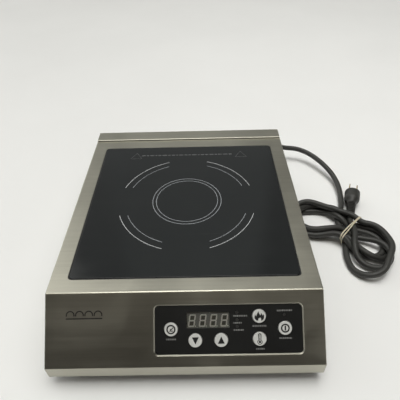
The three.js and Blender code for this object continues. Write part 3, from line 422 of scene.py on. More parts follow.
MAT = {
    "brushed_stainless": brushed("brushed_stainless", (0.398, 0.386, 0.328), (0.505, 0.491, 0.418)),
    "galvanised_steel": sheet_zinc("galvanised_steel"),
    "glass_ceramic": ceran(),
    "silicone_seal": moulded("silicone_seal", (0.020, 0.020, 0.020), 0.50),
    "panel_black": moulded("panel_black", (0.0105, 0.0108, 0.0105), 0.36, grain=1500, depth=0.00002, rough_var=0.07),
    "key_silver": moulded("key_silver", (0.625, 0.63, 0.605), 0.38, var=0.05, grain=1600, depth=0.00002, rough_var=0.08),
    "switch_black": moulded("switch_black", (0.030, 0.030, 0.032), 0.45),
    "smoked_window": lens(),
    "display_grey": moulded("display_grey", (0.300, 0.302, 0.288), 0.55, var=0.08, grain=1200),
    "light_guide_clear": moulded("light_guide_clear", (0.045, 0.044, 0.042), 0.30, var=0.12, Specular_IOR_Level=0.6),
    "circuit_board": pcb("circuit_board"),
    "copper_winding": wound("copper_winding", (0.6, 16.65)),
    "former_black": moulded("former_black", (0.021, 0.021, 0.021), 0.48),
    "ferrite": moulded("ferrite", (0.055, 0.055, 0.06), 0.7, grain=500, depth=0.0001, strength=0.5),
    "mica": moulded("mica", (0.62, 0.55, 0.40), 0.62, var=0.2, grain=240, depth=0.00006),
    "aluminium": moulded("aluminium", (0.72, 0.73, 0.75), 0.38, var=0.08, grain=900, Metallic=1.0),
    "film_capacitor": moulded("film_capacitor", (0.42, 0.085, 0.045), 0.45),
    "ribbon_grey": moulded("ribbon_grey", (0.34, 0.34, 0.33), 0.5),
    "foot_rubber": moulded("foot_rubber", (0.022, 0.022, 0.023), 0.78, grain=500, depth=0.0001, strength=0.5),
    "plated_steel": moulded("plated_steel", (0.66, 0.65, 0.62), 0.3, var=0.1, Metallic=1.0),
    "cord_black": moulded("cord_black", (0.0320, 0.0320, 0.0292), 0.48, var=0.14, grain=700, depth=0.00005, rough_var=0.08),
    "plated_brass": moulded("plated_brass", (0.78, 0.62, 0.33), 0.25, var=0.1, Metallic=1.0),
    "elastic_band": moulded("elastic_band", (0.56, 0.49, 0.36), 0.7, var=0.16, grain=700, depth=0.0001, strength=0.5, Subsurface_Weight=0.1),
}
PRINT_GREY = printed("print_grey", (0.27, 0.285, 0.305), 0.20)
PRINT_BRIGHT = printed("print_bright", (0.42, 0.43, 0.44), 0.25)
PRINT_FAINT = printed("print_faint", (0.095, 0.098, 0.100), 0.4)
PRINT_TRACE = printed("print_trace", (0.060, 0.062, 0.064), 0.3)
PRINT_LABEL = printed("print_label", (0.220, 0.222, 0.215), 0.25)
PRINT_BLACK = printed("print_black", (0.012, 0.012, 0.012), 0.0, 0.45)
PRINT_DARK = printed("print_dark", (0.018, 0.016, 0.016), 0.1, 0.4)
SEGMENT_PALE = printed("segment_pale", (0.96, 0.97, 0.92), 0.03, 0.6)
SEGMENT_DARK = printed("segment_dark", (0.15, 0.145, 0.130), 0.2, 0.6)


# ---------------------------------------------------------------- geometry help
def place(ob, mat, body="root"):
    if ob.name not in scene.collection.objects:
        scene.collection.objects.link(ob)
    ob.data.materials.clear()
    ob.data.materials.append(mat)
    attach(ob, body)
    return ob


def from_bm(name, bm, mat, body="root", angle=32, weighted=True):
    bmesh.ops.recalc_face_normals(bm, faces=bm.faces)
    me = bpy.data.meshes.new(name)
    bm.to_mesh(me)
    bm.free()
    for p in me.polygons:
        p.use_smooth = True
    me.set_sharp_from_angle(angle=math.radians(angle))
    ob = bpy.data.objects.new(name, me)
    place(ob, mat, body)
    if weighted:
        w = ob.modifiers.new("even", "WEIGHTED_NORMAL")
        w.keep_sharp = True
        w.weight = 80
    return ob


def eased_edges(bm, size, angle=30, segments=2, clamp=True):
    edges = [e for e in bm.edges if len(e.link_faces) == 2 and e.calc_face_angle(0) > math.radians(angle)]
    if edges:
        bmesh.ops.bevel(bm, geom=edges, offset=size * MM, offset_type="OFFSET", segments=segments,
                        profile=0.5, affect="EDGES", clamp_overlap=clamp)


def refined(node, mat, body="root", ease=0.2, angle=30, segments=2, name=None, sharp=32, clamp=True):
    """A cleaned copy of a CAD node: welded, its flats made whole and its sharp edges eased."""
    bm = bmesh.new()
    bm.from_mesh(NODES[node].data)
    bmesh.ops.remove_doubles(bm, verts=bm.verts, dist=3e-6)
    bmesh.ops.dissolve_degenerate(bm, edges=bm.edges, dist=2e-6)
    bmesh.ops.dissolve_limit(bm, angle_limit=math.radians(0.5), verts=bm.verts, edges=bm.edges)
    if ease:
        eased_edges(bm, ease, angle, segments, clamp)
    ob = from_bm(name or node + "_shell", bm, MAT[mat], body, sharp)
    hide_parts(node)
    return ob


A = math.atan2(60.5, 62.0)
SLOPE = Matrix.Translation((0, -145.25 * MM, 96 * MM)) @ Matrix.Rotation(A, 4, "X")
FLAT = Matrix.Identity(4)


def signed(loop):
    return sum(a[0] * b[1] - b[0] * a[1] for a, b in zip(loop, loop[1:] + loop[:1])) / 2


def slab(name, shapes, z0, z1, mat, body="root", at=FLAT, ease=0.0, weighted=False, angle=32):
    """Closed prisms in one mesh. shapes: [(outline, [holes])] of (x, y) in mm, from z0 to z1."""
    bm = bmesh.new()
    for outer, holes in shapes:
        loops = [list(outer) if signed(list(outer)) > 0 else list(outer)[::-1]]
        loops += [list(h)[::-1] if signed(list(h)) > 0 else list(h) for h in holes]
        flat = [p for lp in loops for p in lp]
        tris = tessellate_polygon([[Vector((x, y, 0)) for x, y in lp] for lp in loops])
        low = [bm.verts.new(at @ Vector((x * MM, y * MM, z0 * MM))) for x, y in flat]
        top = [bm.verts.new(at @ Vector((x * MM, y * MM, z1 * MM))) for x, y in flat]
        for a, b, c in tris:
            pa, pb, pc = flat[a], flat[b], flat[c]
            if (pb[0] - pa[0]) * (pc[1] - pa[1]) - (pb[1] - pa[1]) * (pc[0] - pa[0]) < 0:
                b, c = c, b
            bm.faces.new((top[a], top[b], top[c]))
            bm.faces.new((low[a], low[c], low[b]))
        base = 0
        for lp in loops:
            k = len(lp)
            for i in range(k):
                j = (i + 1) % k
                bm.faces.new((low[base + i], low[base + j], top[base + j], top[base + i]))
            base += k
    if ease:
        bmesh.ops.dissolve_limit(bm, angle_limit=math.radians(0.5), verts=bm.verts, edges=bm.edges)
        eased_edges(bm, ease, 50, 2)
    return from_bm(name, bm, mat, body, angle, weighted)


def circle(x, y, r, n=48, a0=0.0, a1=360.0):
    if abs(a1 - a0) >= 360:
        return [(x + r * math.cos(2 * math.pi * i / n), y + r * math.sin(2 * math.pi * i / n)) for i in range(n)]
    return [(x + r * math.cos(math.radians(a0 + (a1 - a0) * i / n)), y + r * math.sin(math.radians(a0 + (a1 - a0) * i / n)))
            for i in range(n + 1)]


def ring(x, y, ro, ri, n=96):
    return circle(x, y, ro, n), [circle(x, y, ri, n)]


def rect(x0, y0, x1, y1, r=0.0, steps=4):
    if r <= 0:
        return [(x0, y0), (x1, y0), (x1, y1), (x0, y1)]
    pts = []
    for cx, cy, a0 in ((x1 - r, y1 - r, 0), (x0 + r, y1 - r, 90), (x0 + r, y0 + r, 180), (x1 - r, y0 + r, 270)):
        pts += [(cx + r * math.cos(math.radians(a0 + 90 * i / steps)), cy + r * math.sin(math.radians(a0 + 90 * i / steps)))
                for i in range(steps + 1)]
    return pts


def stroke(x0, y0, x1, y1, w, round_end=True):
    d = Vector((x1 - x0, y1 - y0)).normalized()
    a = math.degrees(math.atan2(d.y, d.x))
    if round_end:
        return circle(x1, y1, w / 2, 6, a - 90, a + 90) + circle(x0, y0, w / 2, 6, a + 90, a + 270)
    s = Vector((-d.y, d.x)) * w / 2
    return [(x0 - s.x, y0 - s.y), (x1 - s.x, y1 - s.y), (x1 + s.x, y1 + s.y), (x0 + s.x, y0 + s.y)]


def spline(points, per):
    """Catmull-Rom through the points, with per steps between each two."""
    P = np.asarray(points, float)
    P = np.vstack([2 * P[0] - P[1], P, 2 * P[-1] - P[-2]])
    out = []
    for i in range(1, len(P) - 2):
        a, b, c, d = P[i - 1], P[i], P[i + 1], P[i + 2]
        for k in range(per):
            t = k / per
            out.append(0.5 * (2 * b + (c - a) * t + (2 * a - 5 * b + 4 * c - d) * t * t + (3 * b - a - 3 * c + d) * t ** 3))
    out.append(P[-2])
    return np.array(out)


def swept(name, path, radii, mat, body="root", sides=28, angle=40, squash=None):
    """A closed round body of changing radius along a path. path in metres, radii in mm."""
    P = np.asarray(path, float)
    T = np.gradient(P, axis=0)
    T /= np.linalg.norm(T, axis=1)[:, None]
    ref = np.array([0, 0, 1.0])
    u = np.cross(T[0], ref)
    u /= np.linalg.norm(u)
    bm = bmesh.new()
    rings = []
    for i in range(len(P)):
        u = u - T[i] * (u @ T[i])
        u /= np.linalg.norm(u)
        v = np.cross(u, T[i])
        row = []
        for k in range(sides):
            a = 2 * math.pi * k / sides
            r = radii[i] * MM
            if squash:
                r *= squash(i, a)
            row.append(bm.verts.new(P[i] + r * (math.cos(a) * u + math.sin(a) * v)))
        rings.append(row)
    for i in range(len(P) - 1):
        for k in range(sides):
            j = (k + 1) % sides
            bm.faces.new((rings[i][k], rings[i][j], rings[i + 1][j], rings[i + 1][k]))
    bm.faces.new(rings[0][::-1])
    bm.faces.new(rings[-1])
    return from_bm(name, bm, mat, body, angle, False)


def lathe(name, profile, x, y, mat, body="root", at=FLAT, sides=64, angle=32):
    """A turned closed body about the local z axis. profile: (radius, z), axis to axis."""
    bm = bmesh.new()
    rings = []
    for r, z in profile:
        if r < 1e-6:
            rings.append([bm.verts.new(at @ Vector((x * MM, y * MM, z * MM)))])
        else:
            rings.append([bm.verts.new(at @ Vector(((x + r * math.cos(2 * math.pi * k / sides)) * MM,
                                                    (y + r * math.sin(2 * math.pi * k / sides)) * MM, z * MM))) for k in range(sides)])
    for a, b in zip(rings, rings[1:]):
        for k in range(sides):
            j = (k + 1) % sides
            if len(a) == 1:
                bm.faces.new((a[0], b[j], b[k]))
            elif len(b) == 1:
                bm.faces.new((a[k], a[j], b[0]))
            else:
                bm.faces.new((a[k], a[j], b[j], b[k]))
    return from_bm(name, bm, mat, body, angle, False)


# --------------------------------------------------------------------- the cord
line = spline(ROUTE, 2)
curve = bpy.data.curves.new("mains_lead", "CURVE")
curve.dimensions = "3D"
curve.bevel_depth = CORD_D / 2
curve.bevel_resolution = 5
curve.use_fill_caps = True
curve.twist_mode = "MINIMUM"
s = curve.splines.new("POLY")
s.points.add(len(line) - 1)
for p, q in zip(s.points, line):
    p.co = (*q, 1)
s.use_smooth = True
lead = bpy.data.objects.new("mains_lead", curve)
place(lead, MAT["cord_black"])
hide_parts("cord_lead", "cord_hank")

# the strain relief: flange, neck through the wall, then a ribbed taper to the lead
wall = [(138, 203.9, 46), (138, 206.0, 46), (138, 207.4, 46), (138, 210.0, 46)]
taper = [(138, 210.0, 46), (138, 213.25, 46), (139.2, 222.25, 45.6), (143.5, 231.75, 44.4), (150, 239.25, 42.6), (152.4, 241.75, 41.95)]
tp = spline(taper, 26)
tl = np.r_[0, np.cumsum(np.linalg.norm(np.diff(tp, axis=0), axis=1))]
at = np.linspace(0, tl[-1], 150)
tp = np.stack([np.interp(at, tl, tp[:, k]) for k in range(3)], axis=1)
tr = np.interp(at, [0, 3, 33, tl[-1]], [7.15, 7.0, 5.75, 5.3])
for i, sx in enumerate(at):
    k = (sx - 5.0) % 3.4
    if 5.0 < sx < 31.0 and k > 2.2:
        tr[i] -= 0.85 * min(1.0, (k - 2.2) / 0.2, (3.4 - k) / 0.2)
pre = [((138, 203.9, 46), 9.6), ((138, 204.15, 46), 10.3), ((138, 205.7, 46), 10.3), ((138, 205.92, 46), 7.9),
       ((138, 207.56, 46), 7.9), ((138, 207.58, 46), 10.2), ((138, 207.8, 46), 10.5), ((138, 209.3, 46), 10.5),
       ((138, 209.75, 46), 10.2), ((138, 209.95, 46), 9.4)]
boot_path = np.vstack([np.array([p for p, _ in pre]), tp]) * MM
boot_r = [r for _, r in pre] + list(tr)
boot = swept("strain_relief", boot_path, boot_r, MAT["former_black"], sides=36, angle=34)
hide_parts("cord_gland")

# the plug: ribbed relief, shoulder and a gripped head, along its own axis
PU = Vector((0.336, 0.942, 0)).normalized()
PB = Vector((273.5, 64, 13.6))
prof = [(-3.0, 5.0), (-2.8, 5.5)]
for i in range(8):
    t0 = -2.4 + i * 3.9
    r = 5.95 + i * 0.14
    prof += [(t0, r), (t0 + 0.35, r + 0.7), (t0 + 1.75, r + 0.7), (t0 + 2.1, r), (t0 + 2.3, r - 1.1), (t0 + 3.75, r - 1.1)]
prof += [(28.9, 7.1), (30.2, 7.4), (33.0, 7.85), (35.0, 8.9), (37.0, 10.4), (39.0, 11.7), (41.0, 12.55), (43.0, 12.95), (45.5, 13.1)]
for i in range(4):
    t0 = 46.2 + i * 3.1
    prof += [(t0, 13.1), (t0 + 0.35, 12.55), (t0 + 1.05, 12.55), (t0 + 1.4, 13.1)]
prof += [(59.6, 13.15), (60.6, 13.1), (61.4, 12.75), (61.85, 12.2), (62.0, 11.5)]
pp = np.array([PB + PU * t for t, _ in prof]) * MM
tt = [t for t, _ in prof]


def grip(i, a):
    # the head is a little flattened above and below, and its grooves stop short of there
    if tt[i] < 33:
        return 1.0
    k = min(1.0, (tt[i] - 33) / 10)
    flat = 1 - 0.06 * k * abs(math.sin(a)) ** 6
    if prof[i][1] < 12.6 and 45 < tt[i] < 59 and abs(math.sin(a)) > 0.72:
        return 13.1 / prof[i][1] * flat
    return flat


plug = swept("plug_moulding", pp, [r for _, r in prof], MAT["cord_black"], sides=48, angle=30, squash=grip)
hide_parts("plug_body")
side = Vector((PU.y, -PU.x, 0))
PLUG = Matrix((
    (side.x, 0, -PU.x, PB.x * MM), (side.y, 0, -PU.y, PB.y * MM), (0, 1, 0, PB.z * MM), (0, 0, 0, 1)))
# the blades, each with its hole, made flat and stood on edge
for sgn, node in ((-1, "plug_blade_left"), (1, "plug_blade_right")):
    edge = Matrix((
        (PU.x, 0, side.x, (PB.x + side.x * 6.35 * sgn) * MM), (PU.y, 0, side.y, (PB.y + side.y * 6.35 * sgn) * MM),
        (0, 1, 0, PB.z * MM), (0, 0, 0, 1)))
    shape = [(61.0, -0.2), (78.6, -0.2), (80.0, 1.1), (80.0, 4.9), (78.6, 6.2), (61.0, 6.2)]
    b = slab(node + "_drilled", [(shape, [circle(76.0, 3.0, 1.55, 24)])], -0.78, 0.78, MAT["plated_brass"], at=edge, ease=0.18, weighted=True)
    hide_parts(node)
pin = refined("plug_ground_pin", "plated_brass", ease=0.0, sharp=50)

# the elastic band, drawn round the strands where it crosses them
TC = np.array([263, 29.0]) * MM
TT = np.array([0.7071068, 0.7071068])
TN = np.array([0.7071068, -0.7071068])


def band_loop(offset, slack, phase):
    """The loop that hugs the strands in the plane at that offset along the hank."""
    q = (line[:, :2] - TC) @ TN - offset
    cuts = []
    for i in np.nonzero(np.sign(q[:-1]) != np.sign(q[1:]))[0]:
        t = q[i] / (q[i] - q[i + 1])
        p = line[i] + t * (line[i + 1] - line[i])
        sd = line[i + 1] - line[i]
        lean = abs((sd[:2] / np.linalg.norm(sd)) @ TN)
        s_ = (p[:2] - TC) @ TT
        if abs(s_) < 0.034:
            cuts.append((s_, p[2], lean))
    pts = []
    for s_, z, lean in cuts:
        wide = (CORD_D / 2) / max(lean, 0.55)
        for k in range(32):
            a = 2 * math.pi * k / 32
            pts.append((s_ + (wide + slack) * math.cos(a), z + (CORD_D / 2 + slack) * math.sin(a)))
    pts = sorted(set((round(a, 7), round(b, 7)) for a, b in pts))

    def half(seq):
        out = []
        for p in seq:
            while len(out) > 1 and (out[-1][0] - out[-2][0]) * (p[1] - out[-2][1]) - (out[-1][1] - out[-2][1]) * (p[0] - out[-2][0]) <= 0:
                out.pop()
            out.append(p)
        return out[:-1]

    hull = np.array(half(pts) + half(pts[::-1]))
    closed_hull = np.vstack([hull, hull[:1]])
    d = np.r_[0, np.cumsum(np.linalg.norm(np.diff(closed_hull, axis=0), axis=1))]
    n = 132
    u = np.linspace(0, d[-1], n, endpoint=False)
    h = np.stack([np.interp(u, d, closed_hull[:, k]) for k in (0, 1)], axis=1)
    for _ in range(4):
        h = (np.roll(h, 1, 0) + 2 * h + np.roll(h, -1, 0)) / 4
    h[:, 1] = np.maximum(h[:, 1], 0.0011)
    wob = 0.0009 * np.sin(np.linspace(0, 4 * math.pi, n, endpoint=False) + phase)
    out = np.zeros((n, 3))
    out[:, :2] = TC + h[:, :1] * TT + (offset + wob)[:, None] * TN
    out[:, 2] = h[:, 1]
    return out


bm = bmesh.new()
for off_, slack, phase in ((-0.0013, 0.00075, 0.3), (0.0012, 0.00080, 2.2)):
    loop = band_loop(off_, slack, phase)
    m = len(loop)
    rows = []
    for i in range(m):
        t = loop[(i + 1) % m] - loop[i - 1]
        t /= np.linalg.norm(t)
        b_ = np.array([TN[0], TN[1], 0.0])
        b_ -= t * (b_ @ t)
        b_ /= np.linalg.norm(b_)
        c_ = np.cross(t, b_)
        rows.append([bm.verts.new(loop[i] + 0.00105 * math.cos(2 * math.pi * k / 12) * b_ + 0.0007 * math.sin(2 * math.pi * k / 12) * c_)
                     for k in range(12)])
    for i in range(m):
        for k in range(12):
            bm.faces.new((rows[i][k], rows[i][(k + 1) % 12], rows[(i + 1) % m][(k + 1) % 12], rows[(i + 1) % m][k]))
band = from_bm("hank_band", bm, MAT["elastic_band"], angle=60, weighted=False)
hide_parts("cord_tie")

# ---------------------------------------------------------------------- housing
cover = refined("top_cover", "brushed_stainless", ease=0.22, angle=34, clamp=True)
rear = refined("rear_panel", "brushed_stainless", ease=0.2, angle=34)
# the folded flange turns down in front with a fuller bend
YB0 = 207.25 - 27
for v in rear.data.vertices:
    dy, dz = v.co.y / MM - (YB0 + 0.8), v.co.z / MM - 97.7
    if dy < 0.02 and dz > -0.02 and v.co.y / MM < YB0 + 0.9:
        a_ = math.atan2(max(dz, 0.0), min(dy, 0.0) - 1e-9)
        v.co.y, v.co.z = (YB0 + 2.05 + 2.05 * math.cos(a_)) * MM, (96.45 + 2.05 * math.sin(a_)) * MM
pan = refined("base_pan", "galvanised_steel", ease=0.15, angle=40, segments=1)

# glass plate with its ground edge
GX, GY = 281.2 / 2, 280.6 / 2
glass_rows = []
for inset, z in ((0.5, 92.3), (0.12, 92.42), (0.0, 92.8), (0.0, 95.75), (0.10, 96.02), (0.28, 96.2), (0.55, 96.3)):
    glass_rows.append([(x, y, z) for x, y in rect(-GX + inset, 15.95 - GY + inset, GX - inset, 15.95 + GY - inset, 4 - inset * 0.6, 10)])
bm = bmesh.new()
rows = [[bm.verts.new(Vector(p) * MM) for p in row] for row in glass_rows]
for a, b in zip(rows, rows[1:]):
    for i in range(len(a)):
        j = (i + 1) % len(a)
        bm.faces.new((a[i], a[j], b[j], b[i]))
bm.faces.new(rows[0][::-1])
bm.faces.new(rows[-1])
glass = from_bm("glass_top", bm, MAT["glass_ceramic"], angle=50)
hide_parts("glass_plate")

# silicone bead: fills the joint and dips a little between glass and steel
bead = [(0.28, 95.55), (0.5, 95.85), (0.9, 95.93), (1.3, 95.88), (1.62, 95.6), (1.62, 92.2), (0.28, 92.2)]
bm = bmesh.new()
loops = []
for e, z in bead:
    loops.append([bm.verts.new(Vector((x, y, z)) * MM) for x, y in
                  rect(-GX - e, 15.95 - GY - e, GX + e, 15.95 + GY + e, 4 + e, 10)])
for a, b in zip(loops, loops[1:] + loops[:1]):
    for i in range(len(a)):
        j = (i + 1) % len(a)
        bm.faces.new((a[i], a[j], b[j], b[i]))
seal = from_bm("glass_bead", bm, MAT["silicone_seal"], angle=50, weighted=False)
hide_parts("glass_seal")

# ------------------------------------------------------- prints on the glass
CX, CY = 0.6, 16.65
TOP = 96.3


def print_on(name, shapes, mat, z=TOP, thick=0.05, body="root", at=FLAT):
    ob = slab(name, shapes, z - 0.01, z + thick, mat, body, at)
    return ob


def arc(r, w, gap=31.2, n=40):
    """Four quadrant arcs of a circle, cut back by a cross-shaped gap."""
    out = []
    a0 = math.degrees(math.asin(gap / r))
    for q in range(4):
        s0, s1 = q * 90 + a0, q * 90 + 90 - a0
        outer = circle(CX, CY, r + w / 2, n, s0, s1)
        inner = circle(CX, CY, r - w / 2, n, s0, s1)
        out.append((outer + inner[::-1], []))
    return out


print_on("zone_rings", [ring(CX, CY, 50.95, 49.95, 160), ring(CX, CY, 45.65, 44.75, 160)], PRINT_GREY)
print_on("zone_arcs_outer", arc(100.1, 1.05), PRINT_BRIGHT)
print_on("zone_arcs_inner", arc(89.2, 0.85), PRINT_GREY)
# a plain row of short bars and two plain triangles stand in for the printed notice
row, x = [], -78.0
for i, w in enumerate([6, 4, 7, 3, 5, 8, 4, 6, 3, 7, 5, 4, 8, 3, 6, 5, 7, 4, 6, 8, 5]):
    if x + w > 79:
        break
    row.append((rect(x, 131.9, x + w, 134.5), []))
    x += w + 1.9
print_on("notice_bars", row, PRINT_FAINT)
tri = []
for tx in (-87.0, 89.0):
    o = [(tx - 10, 124.6), (tx + 10, 124.6), (tx, 142.0)]
    i_ = [(tx - 8.5, 125.5), (tx + 8.5, 125.5), (tx, 140.4)]
    tri.append((o, [i_]))
print_on("notice_triangles", tri, PRINT_TRACE)

# --------------------------------------------------------------- control panel
fascia = refined("control_fascia", "panel_black", ease=0.18, angle=40)
KEYS = [("timer", -15.75, 43.85), ("down", 12.5, 56.9), ("up", 42.6, 56.9),
        ("heating", 87.3, 30.2), ("temperature", 87.3, 56.25), ("power", 117.2, 44.35)]
NF = -2.0
for key, kx, kv in KEYS:
    # a domed rim round a very slightly dished face
    profile = [(0, -7.45), (2, -7.45), (2, -6.4), (9.5, -6.4), (9.6, -6.3), (9.6, -5.4), (9.5, -5.3), (7.75, -5.3), (7.75, -1.15)]
    profile += [(7.75 - 0.6 + 0.6 * math.cos(math.radians(t)), -1.15 + 0.55 * math.sin(math.radians(t))) for t in (15, 30, 45, 60, 75, 90)]
    profile += [(7.0, -0.62), (6.4, -0.66), (4.0, -0.70), (0, -0.71)]
    b = lathe("key_cap_" + key, profile, kx, -kv, MAT["key_silver"], "key_" + key, SLOPE, 72)
    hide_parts("button_" + key)


def icon(key, shapes, mat=PRINT_BLACK, tag="icon"):
    kx, kv = next((x_, v_) for n_, x_, v_ in KEYS if n_ == key)
    moved = [([(kx + a, -kv + b) for a, b in o], [[(kx + a, -kv + b) for a, b in h] for h in hs]) for o, hs in shapes]
    ob = slab(tag + "_" + key, moved, -0.74, -0.655, mat, "key_" + key, SLOPE)
    return ob


icon("timer", [ring(0, 0, 5.4, 3.7, 64), (stroke(0.75, 0.2, 2.3, 1.9, 1.1), []), (stroke(-1.6, -1.75, 2.0, -1.75, 1.05), []),
               (circle(-0.35, -0.25, 0.95, 20), [])])
icon("down", [([(-4.0, 3.75), (4.0, 3.75), (0, -4.35)], [])])
icon("up", [([(-4.0, -3.9), (4.0, -3.9), (0, 4.3)], [])])
flame = [(-2.6, -4.9), (-4.1, -3.6), (-4.9, -1.6), (-4.75, 0.3), (-4.1, 1.9), (-3.75, 0.7), (-3.0, -0.1), (-2.6, 1.5), (-1.7, 3.3), (-0.5, 5.4),
         (-0.25, 3.6), (0.5, 1.9), (1.3, 0.7), (1.75, 1.9), (1.95, 3.6), (2.9, 2.2), (3.35, 0.7), (3.9, 1.1), (4.35, 2.4), (4.9, 0.6),
         (5.0, -1.2), (4.5, -3.2), (3.1, -4.8), (1.6, -5.0), (1.9, -3.6), (1.5, -2.3), (0.7, -1.5), (0.3, -2.7), (-0.4, -2.1), (-0.9, -3.3), (-1.0, -4.9)]
icon("heating", [([(x_ * 1.14, y_ * 1.04 + 0.1) for x_, y_ in flame], [])])
# thermometer: outline of stem and bulb, filled bulb, column and graduations
outer_t = circle(0, -3.3, 3.0, 30, 125, 415) + circle(0, 4.6, 1.95, 14, 0, 180)
inner_t = circle(0, -3.3, 2.2, 26, 122, 418) + circle(0, 4.6, 0.90, 12, 0, 180)
icon("temperature", [(outer_t, [inner_t]), (circle(0, -3.3, 1.45, 24), []), (rect(-0.45, -2.0, 0.45, 1.6), []),
                     (rect(-1.0, 4.2, 0.15, 4.6), []), (rect(-1.0, 3.2, 0.15, 3.6), []), (rect(-1.0, 2.2, 0.15, 2.6), [])])
icon("power", [ring(0, 0, 5.15, 3.45, 64), (rect(-0.85, -2.75, 0.85, 2.75, 0.35), [])])

# display: two dark cells and eight pale bars to each digit, under the smoked window
window = refined("display_window", "smoked_window", ease=0.12, angle=40)
module = refined("led_display", "display_grey", ease=0.15, angle=40)
pale, dark = [], []
N_MOD = -5.3
LEAN = math.tan(math.radians(8.5))


def seg(points, cx, cy):
    return ([(cx + px_ + (py_) * LEAN, cy + py_) for px_, py_ in points], [])


H2, W2, TH = 7.25, 3.95, 1.55
for d in range(4):
    cx, cy = 8.75 + 12.67 * d, -35.1
    g = 0.14
    h = TH / 2
    for yy in (H2 - h, 0.0, -H2 + h):
        a_ = W2 - h - g
        pale.append(seg([(-a_ - h * 0.9, yy), (-a_, yy - h), (a_, yy - h), (a_ + h * 0.9, yy), (a_, yy + h), (-a_, yy + h)], cx, cy))
    for xx in (-W2 + h, W2 - h):
        for y0_, y1_ in ((0.0, H2 - h), (-H2 + h, 0.0)):
            pale.append(seg([(xx, y0_ + g + 0.05), (xx + h, y0_ + h + g), (xx + h, y1_ - h - g), (xx, y1_ - g - 0.05),
                             (xx - h, y1_ - h - g), (xx - h, y0_ + h + g)], cx, cy))
    pale.append(([(x_, y_) for x_, y_ in circle(cx + W2 + 1.15 - H2 * LEAN, cy - H2 + 0.8, 0.8, 20)], []))
    for y0_, y1_ in ((h + 0.25, H2 - TH - 0.25), (-H2 + TH + 0.25, -h - 0.25)):
        dark.append(seg([(-W2 + TH + 0.25, y0_), (W2 - TH - 0.25, y0_), (W2 - TH - 0.25, y1_), (-W2 + TH + 0.25, y1_)], cx, cy))
bars = slab("digit_bars", pale, N_MOD - 0.02, N_MOD + 0.22, SEGMENT_PALE, at=SLOPE)
cells_ = slab("digit_cells", dark, N_MOD - 0.02, N_MOD + 0.06, SEGMENT_DARK, at=SLOPE)

for node in ("indicator_light_guide", "power_light_guide"):
    refined(node, "light_guide_clear", ease=0.12, angle=40)

# words on the panel become rows of plain short bars


def bars_at(x0_, x1_, v, seed, h=1.8):
    out, xx, k = [], x0_, seed
    while xx < x1_ - 0.7:
        w = (1.5, 1.1, 1.9, 1.3)[k % 4]
        w = min(w, x1_ - xx)
        out.append((rect(xx, -v - h / 2, xx + w, -v + h / 2), []))
        xx += w + 0.62
        k += 1
    return out


labels = []
for i, (a_, b_, v_) in enumerate([(57.4, 73.4, 29.7), (57.4, 67.2, 37.6), (57.4, 69.0, 45.9), (108.2, 126.6, 24.3)]):
    labels += bars_at(a_, b_, v_, i)
for i, (a_, b_, v_) in enumerate([(-21.4, -10.2, 55.4), (79.4, 95.6, 41.6), (83.0, 93.2, 67.6), (110.3, 124.2, 55.9)]):
    labels += bars_at(a_, b_, v_, i + 1)
words = slab("label_bars", labels, NF - 0.01, NF + 0.03, PRINT_LABEL, at=SLOPE)

# a plain circuit sign for a coil stands where the housing's mark would be
sign = []
for i in range(4):
    lx = -133.4 + i * 10.9
    sign.append((circle(lx, -25.6, 5.15, 24, 0, 180) + [(lx - 5.15, -26.9), (lx - 3.75, -26.9)]
                 + circle(lx, -25.6, 3.75, 24, 180, 0 + 0.0001)[::1] + [(lx + 3.75, -26.9), (lx + 5.15, -26.9)], []))
sign.append((rect(-138.5, -30.4, -95.6, -29.0), []))
coil_sign = slab("coil_sign", sign, -0.01, 0.05, PRINT_DARK, at=SLOPE)

# ------------------------------------------------------ everything underneath
for i in range(1, 5):
    x_, y_ = ((-135, -178), (135, -178), (-135, 178), (135, 178))[i - 1]
    prof_f = [(2.6, 7.0), (5.4, 7.0), (5.4, 0.5), (5.7, 0.05), (11.4, 0.0), (12.2, 0.15), (12.9, 0.7), (13.5, 1.6),
              (13.7, 4.6), (13.2, 5.0), (13.2, 5.6), (13.8, 6.0), (14.9, 16.9), (14.7, 17.5), (14.2, 17.7), (2.6, 17.7), (2.6, 7.0)]
    bm = bmesh.new()
    sides = 56
    rings_ = [[bm.verts.new(Vector((x_ + r_ * math.cos(2 * math.pi * k / sides), y_ + r_ * math.sin(2 * math.pi * k / sides), z_)) * MM)
               for k in range(sides)] for r_, z_ in prof_f[:-1]]
    for a_, b_ in zip(rings_, rings_[1:] + rings_[:1]):
        for k in range(sides):
            j = (k + 1) % sides
            bm.faces.new((a_[k], a_[j], b_[j], b_[k]))
    f = from_bm("foot_pad_%d" % i, bm, MAT["foot_rubber"], angle=34, weighted=False)
    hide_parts("foot_%d" % i)
    refined("foot_screw_%d" % i, "plated_steel", ease=0.25, angle=40)

INSIDE = {
    "control_board": ("circuit_board", 0.1), "control_bracket": ("galvanised_steel", 0.15), "mica_sheet": ("mica", 0.0),
    "coil_former": ("former_black", 0.15), "glass_thermistor": ("aluminium", 0.15), "thermistor_spring": ("plated_steel", 0.0),
    "power_board": ("circuit_board", 0.1), "heatsink": ("aluminium", 0.15), "power_transistor": ("switch_black", 0.25),
    "bridge_rectifier": ("switch_black", 0.25), "smoothing_capacitor": ("film_capacitor", 0.9), "resonant_capacitor": ("film_capacitor", 0.9),
    "ribbon_cable": ("ribbon_grey", 0.1), "fan_frame": ("former_black", 0.3),
}
for i in range(1, 5):
    INSIDE["ferrite_bar_%d" % i] = ("ferrite", 0.6)
for key, _, _ in KEYS:
    INSIDE["switch_" + key] = ("switch_black", 0.2)
for node, (mat, ease) in INSIDE.items():
    refined(node, mat, ease=ease, angle=40, sharp=38)
rotor = refined("fan_rotor", "former_black", "fan", ease=0.2, angle=40)
coil = refined("coil_winding", "copper_winding", ease=0.0, sharp=50)
MAT["choke_copper"] = wound("choke_copper", (-37, -96), 0.6)
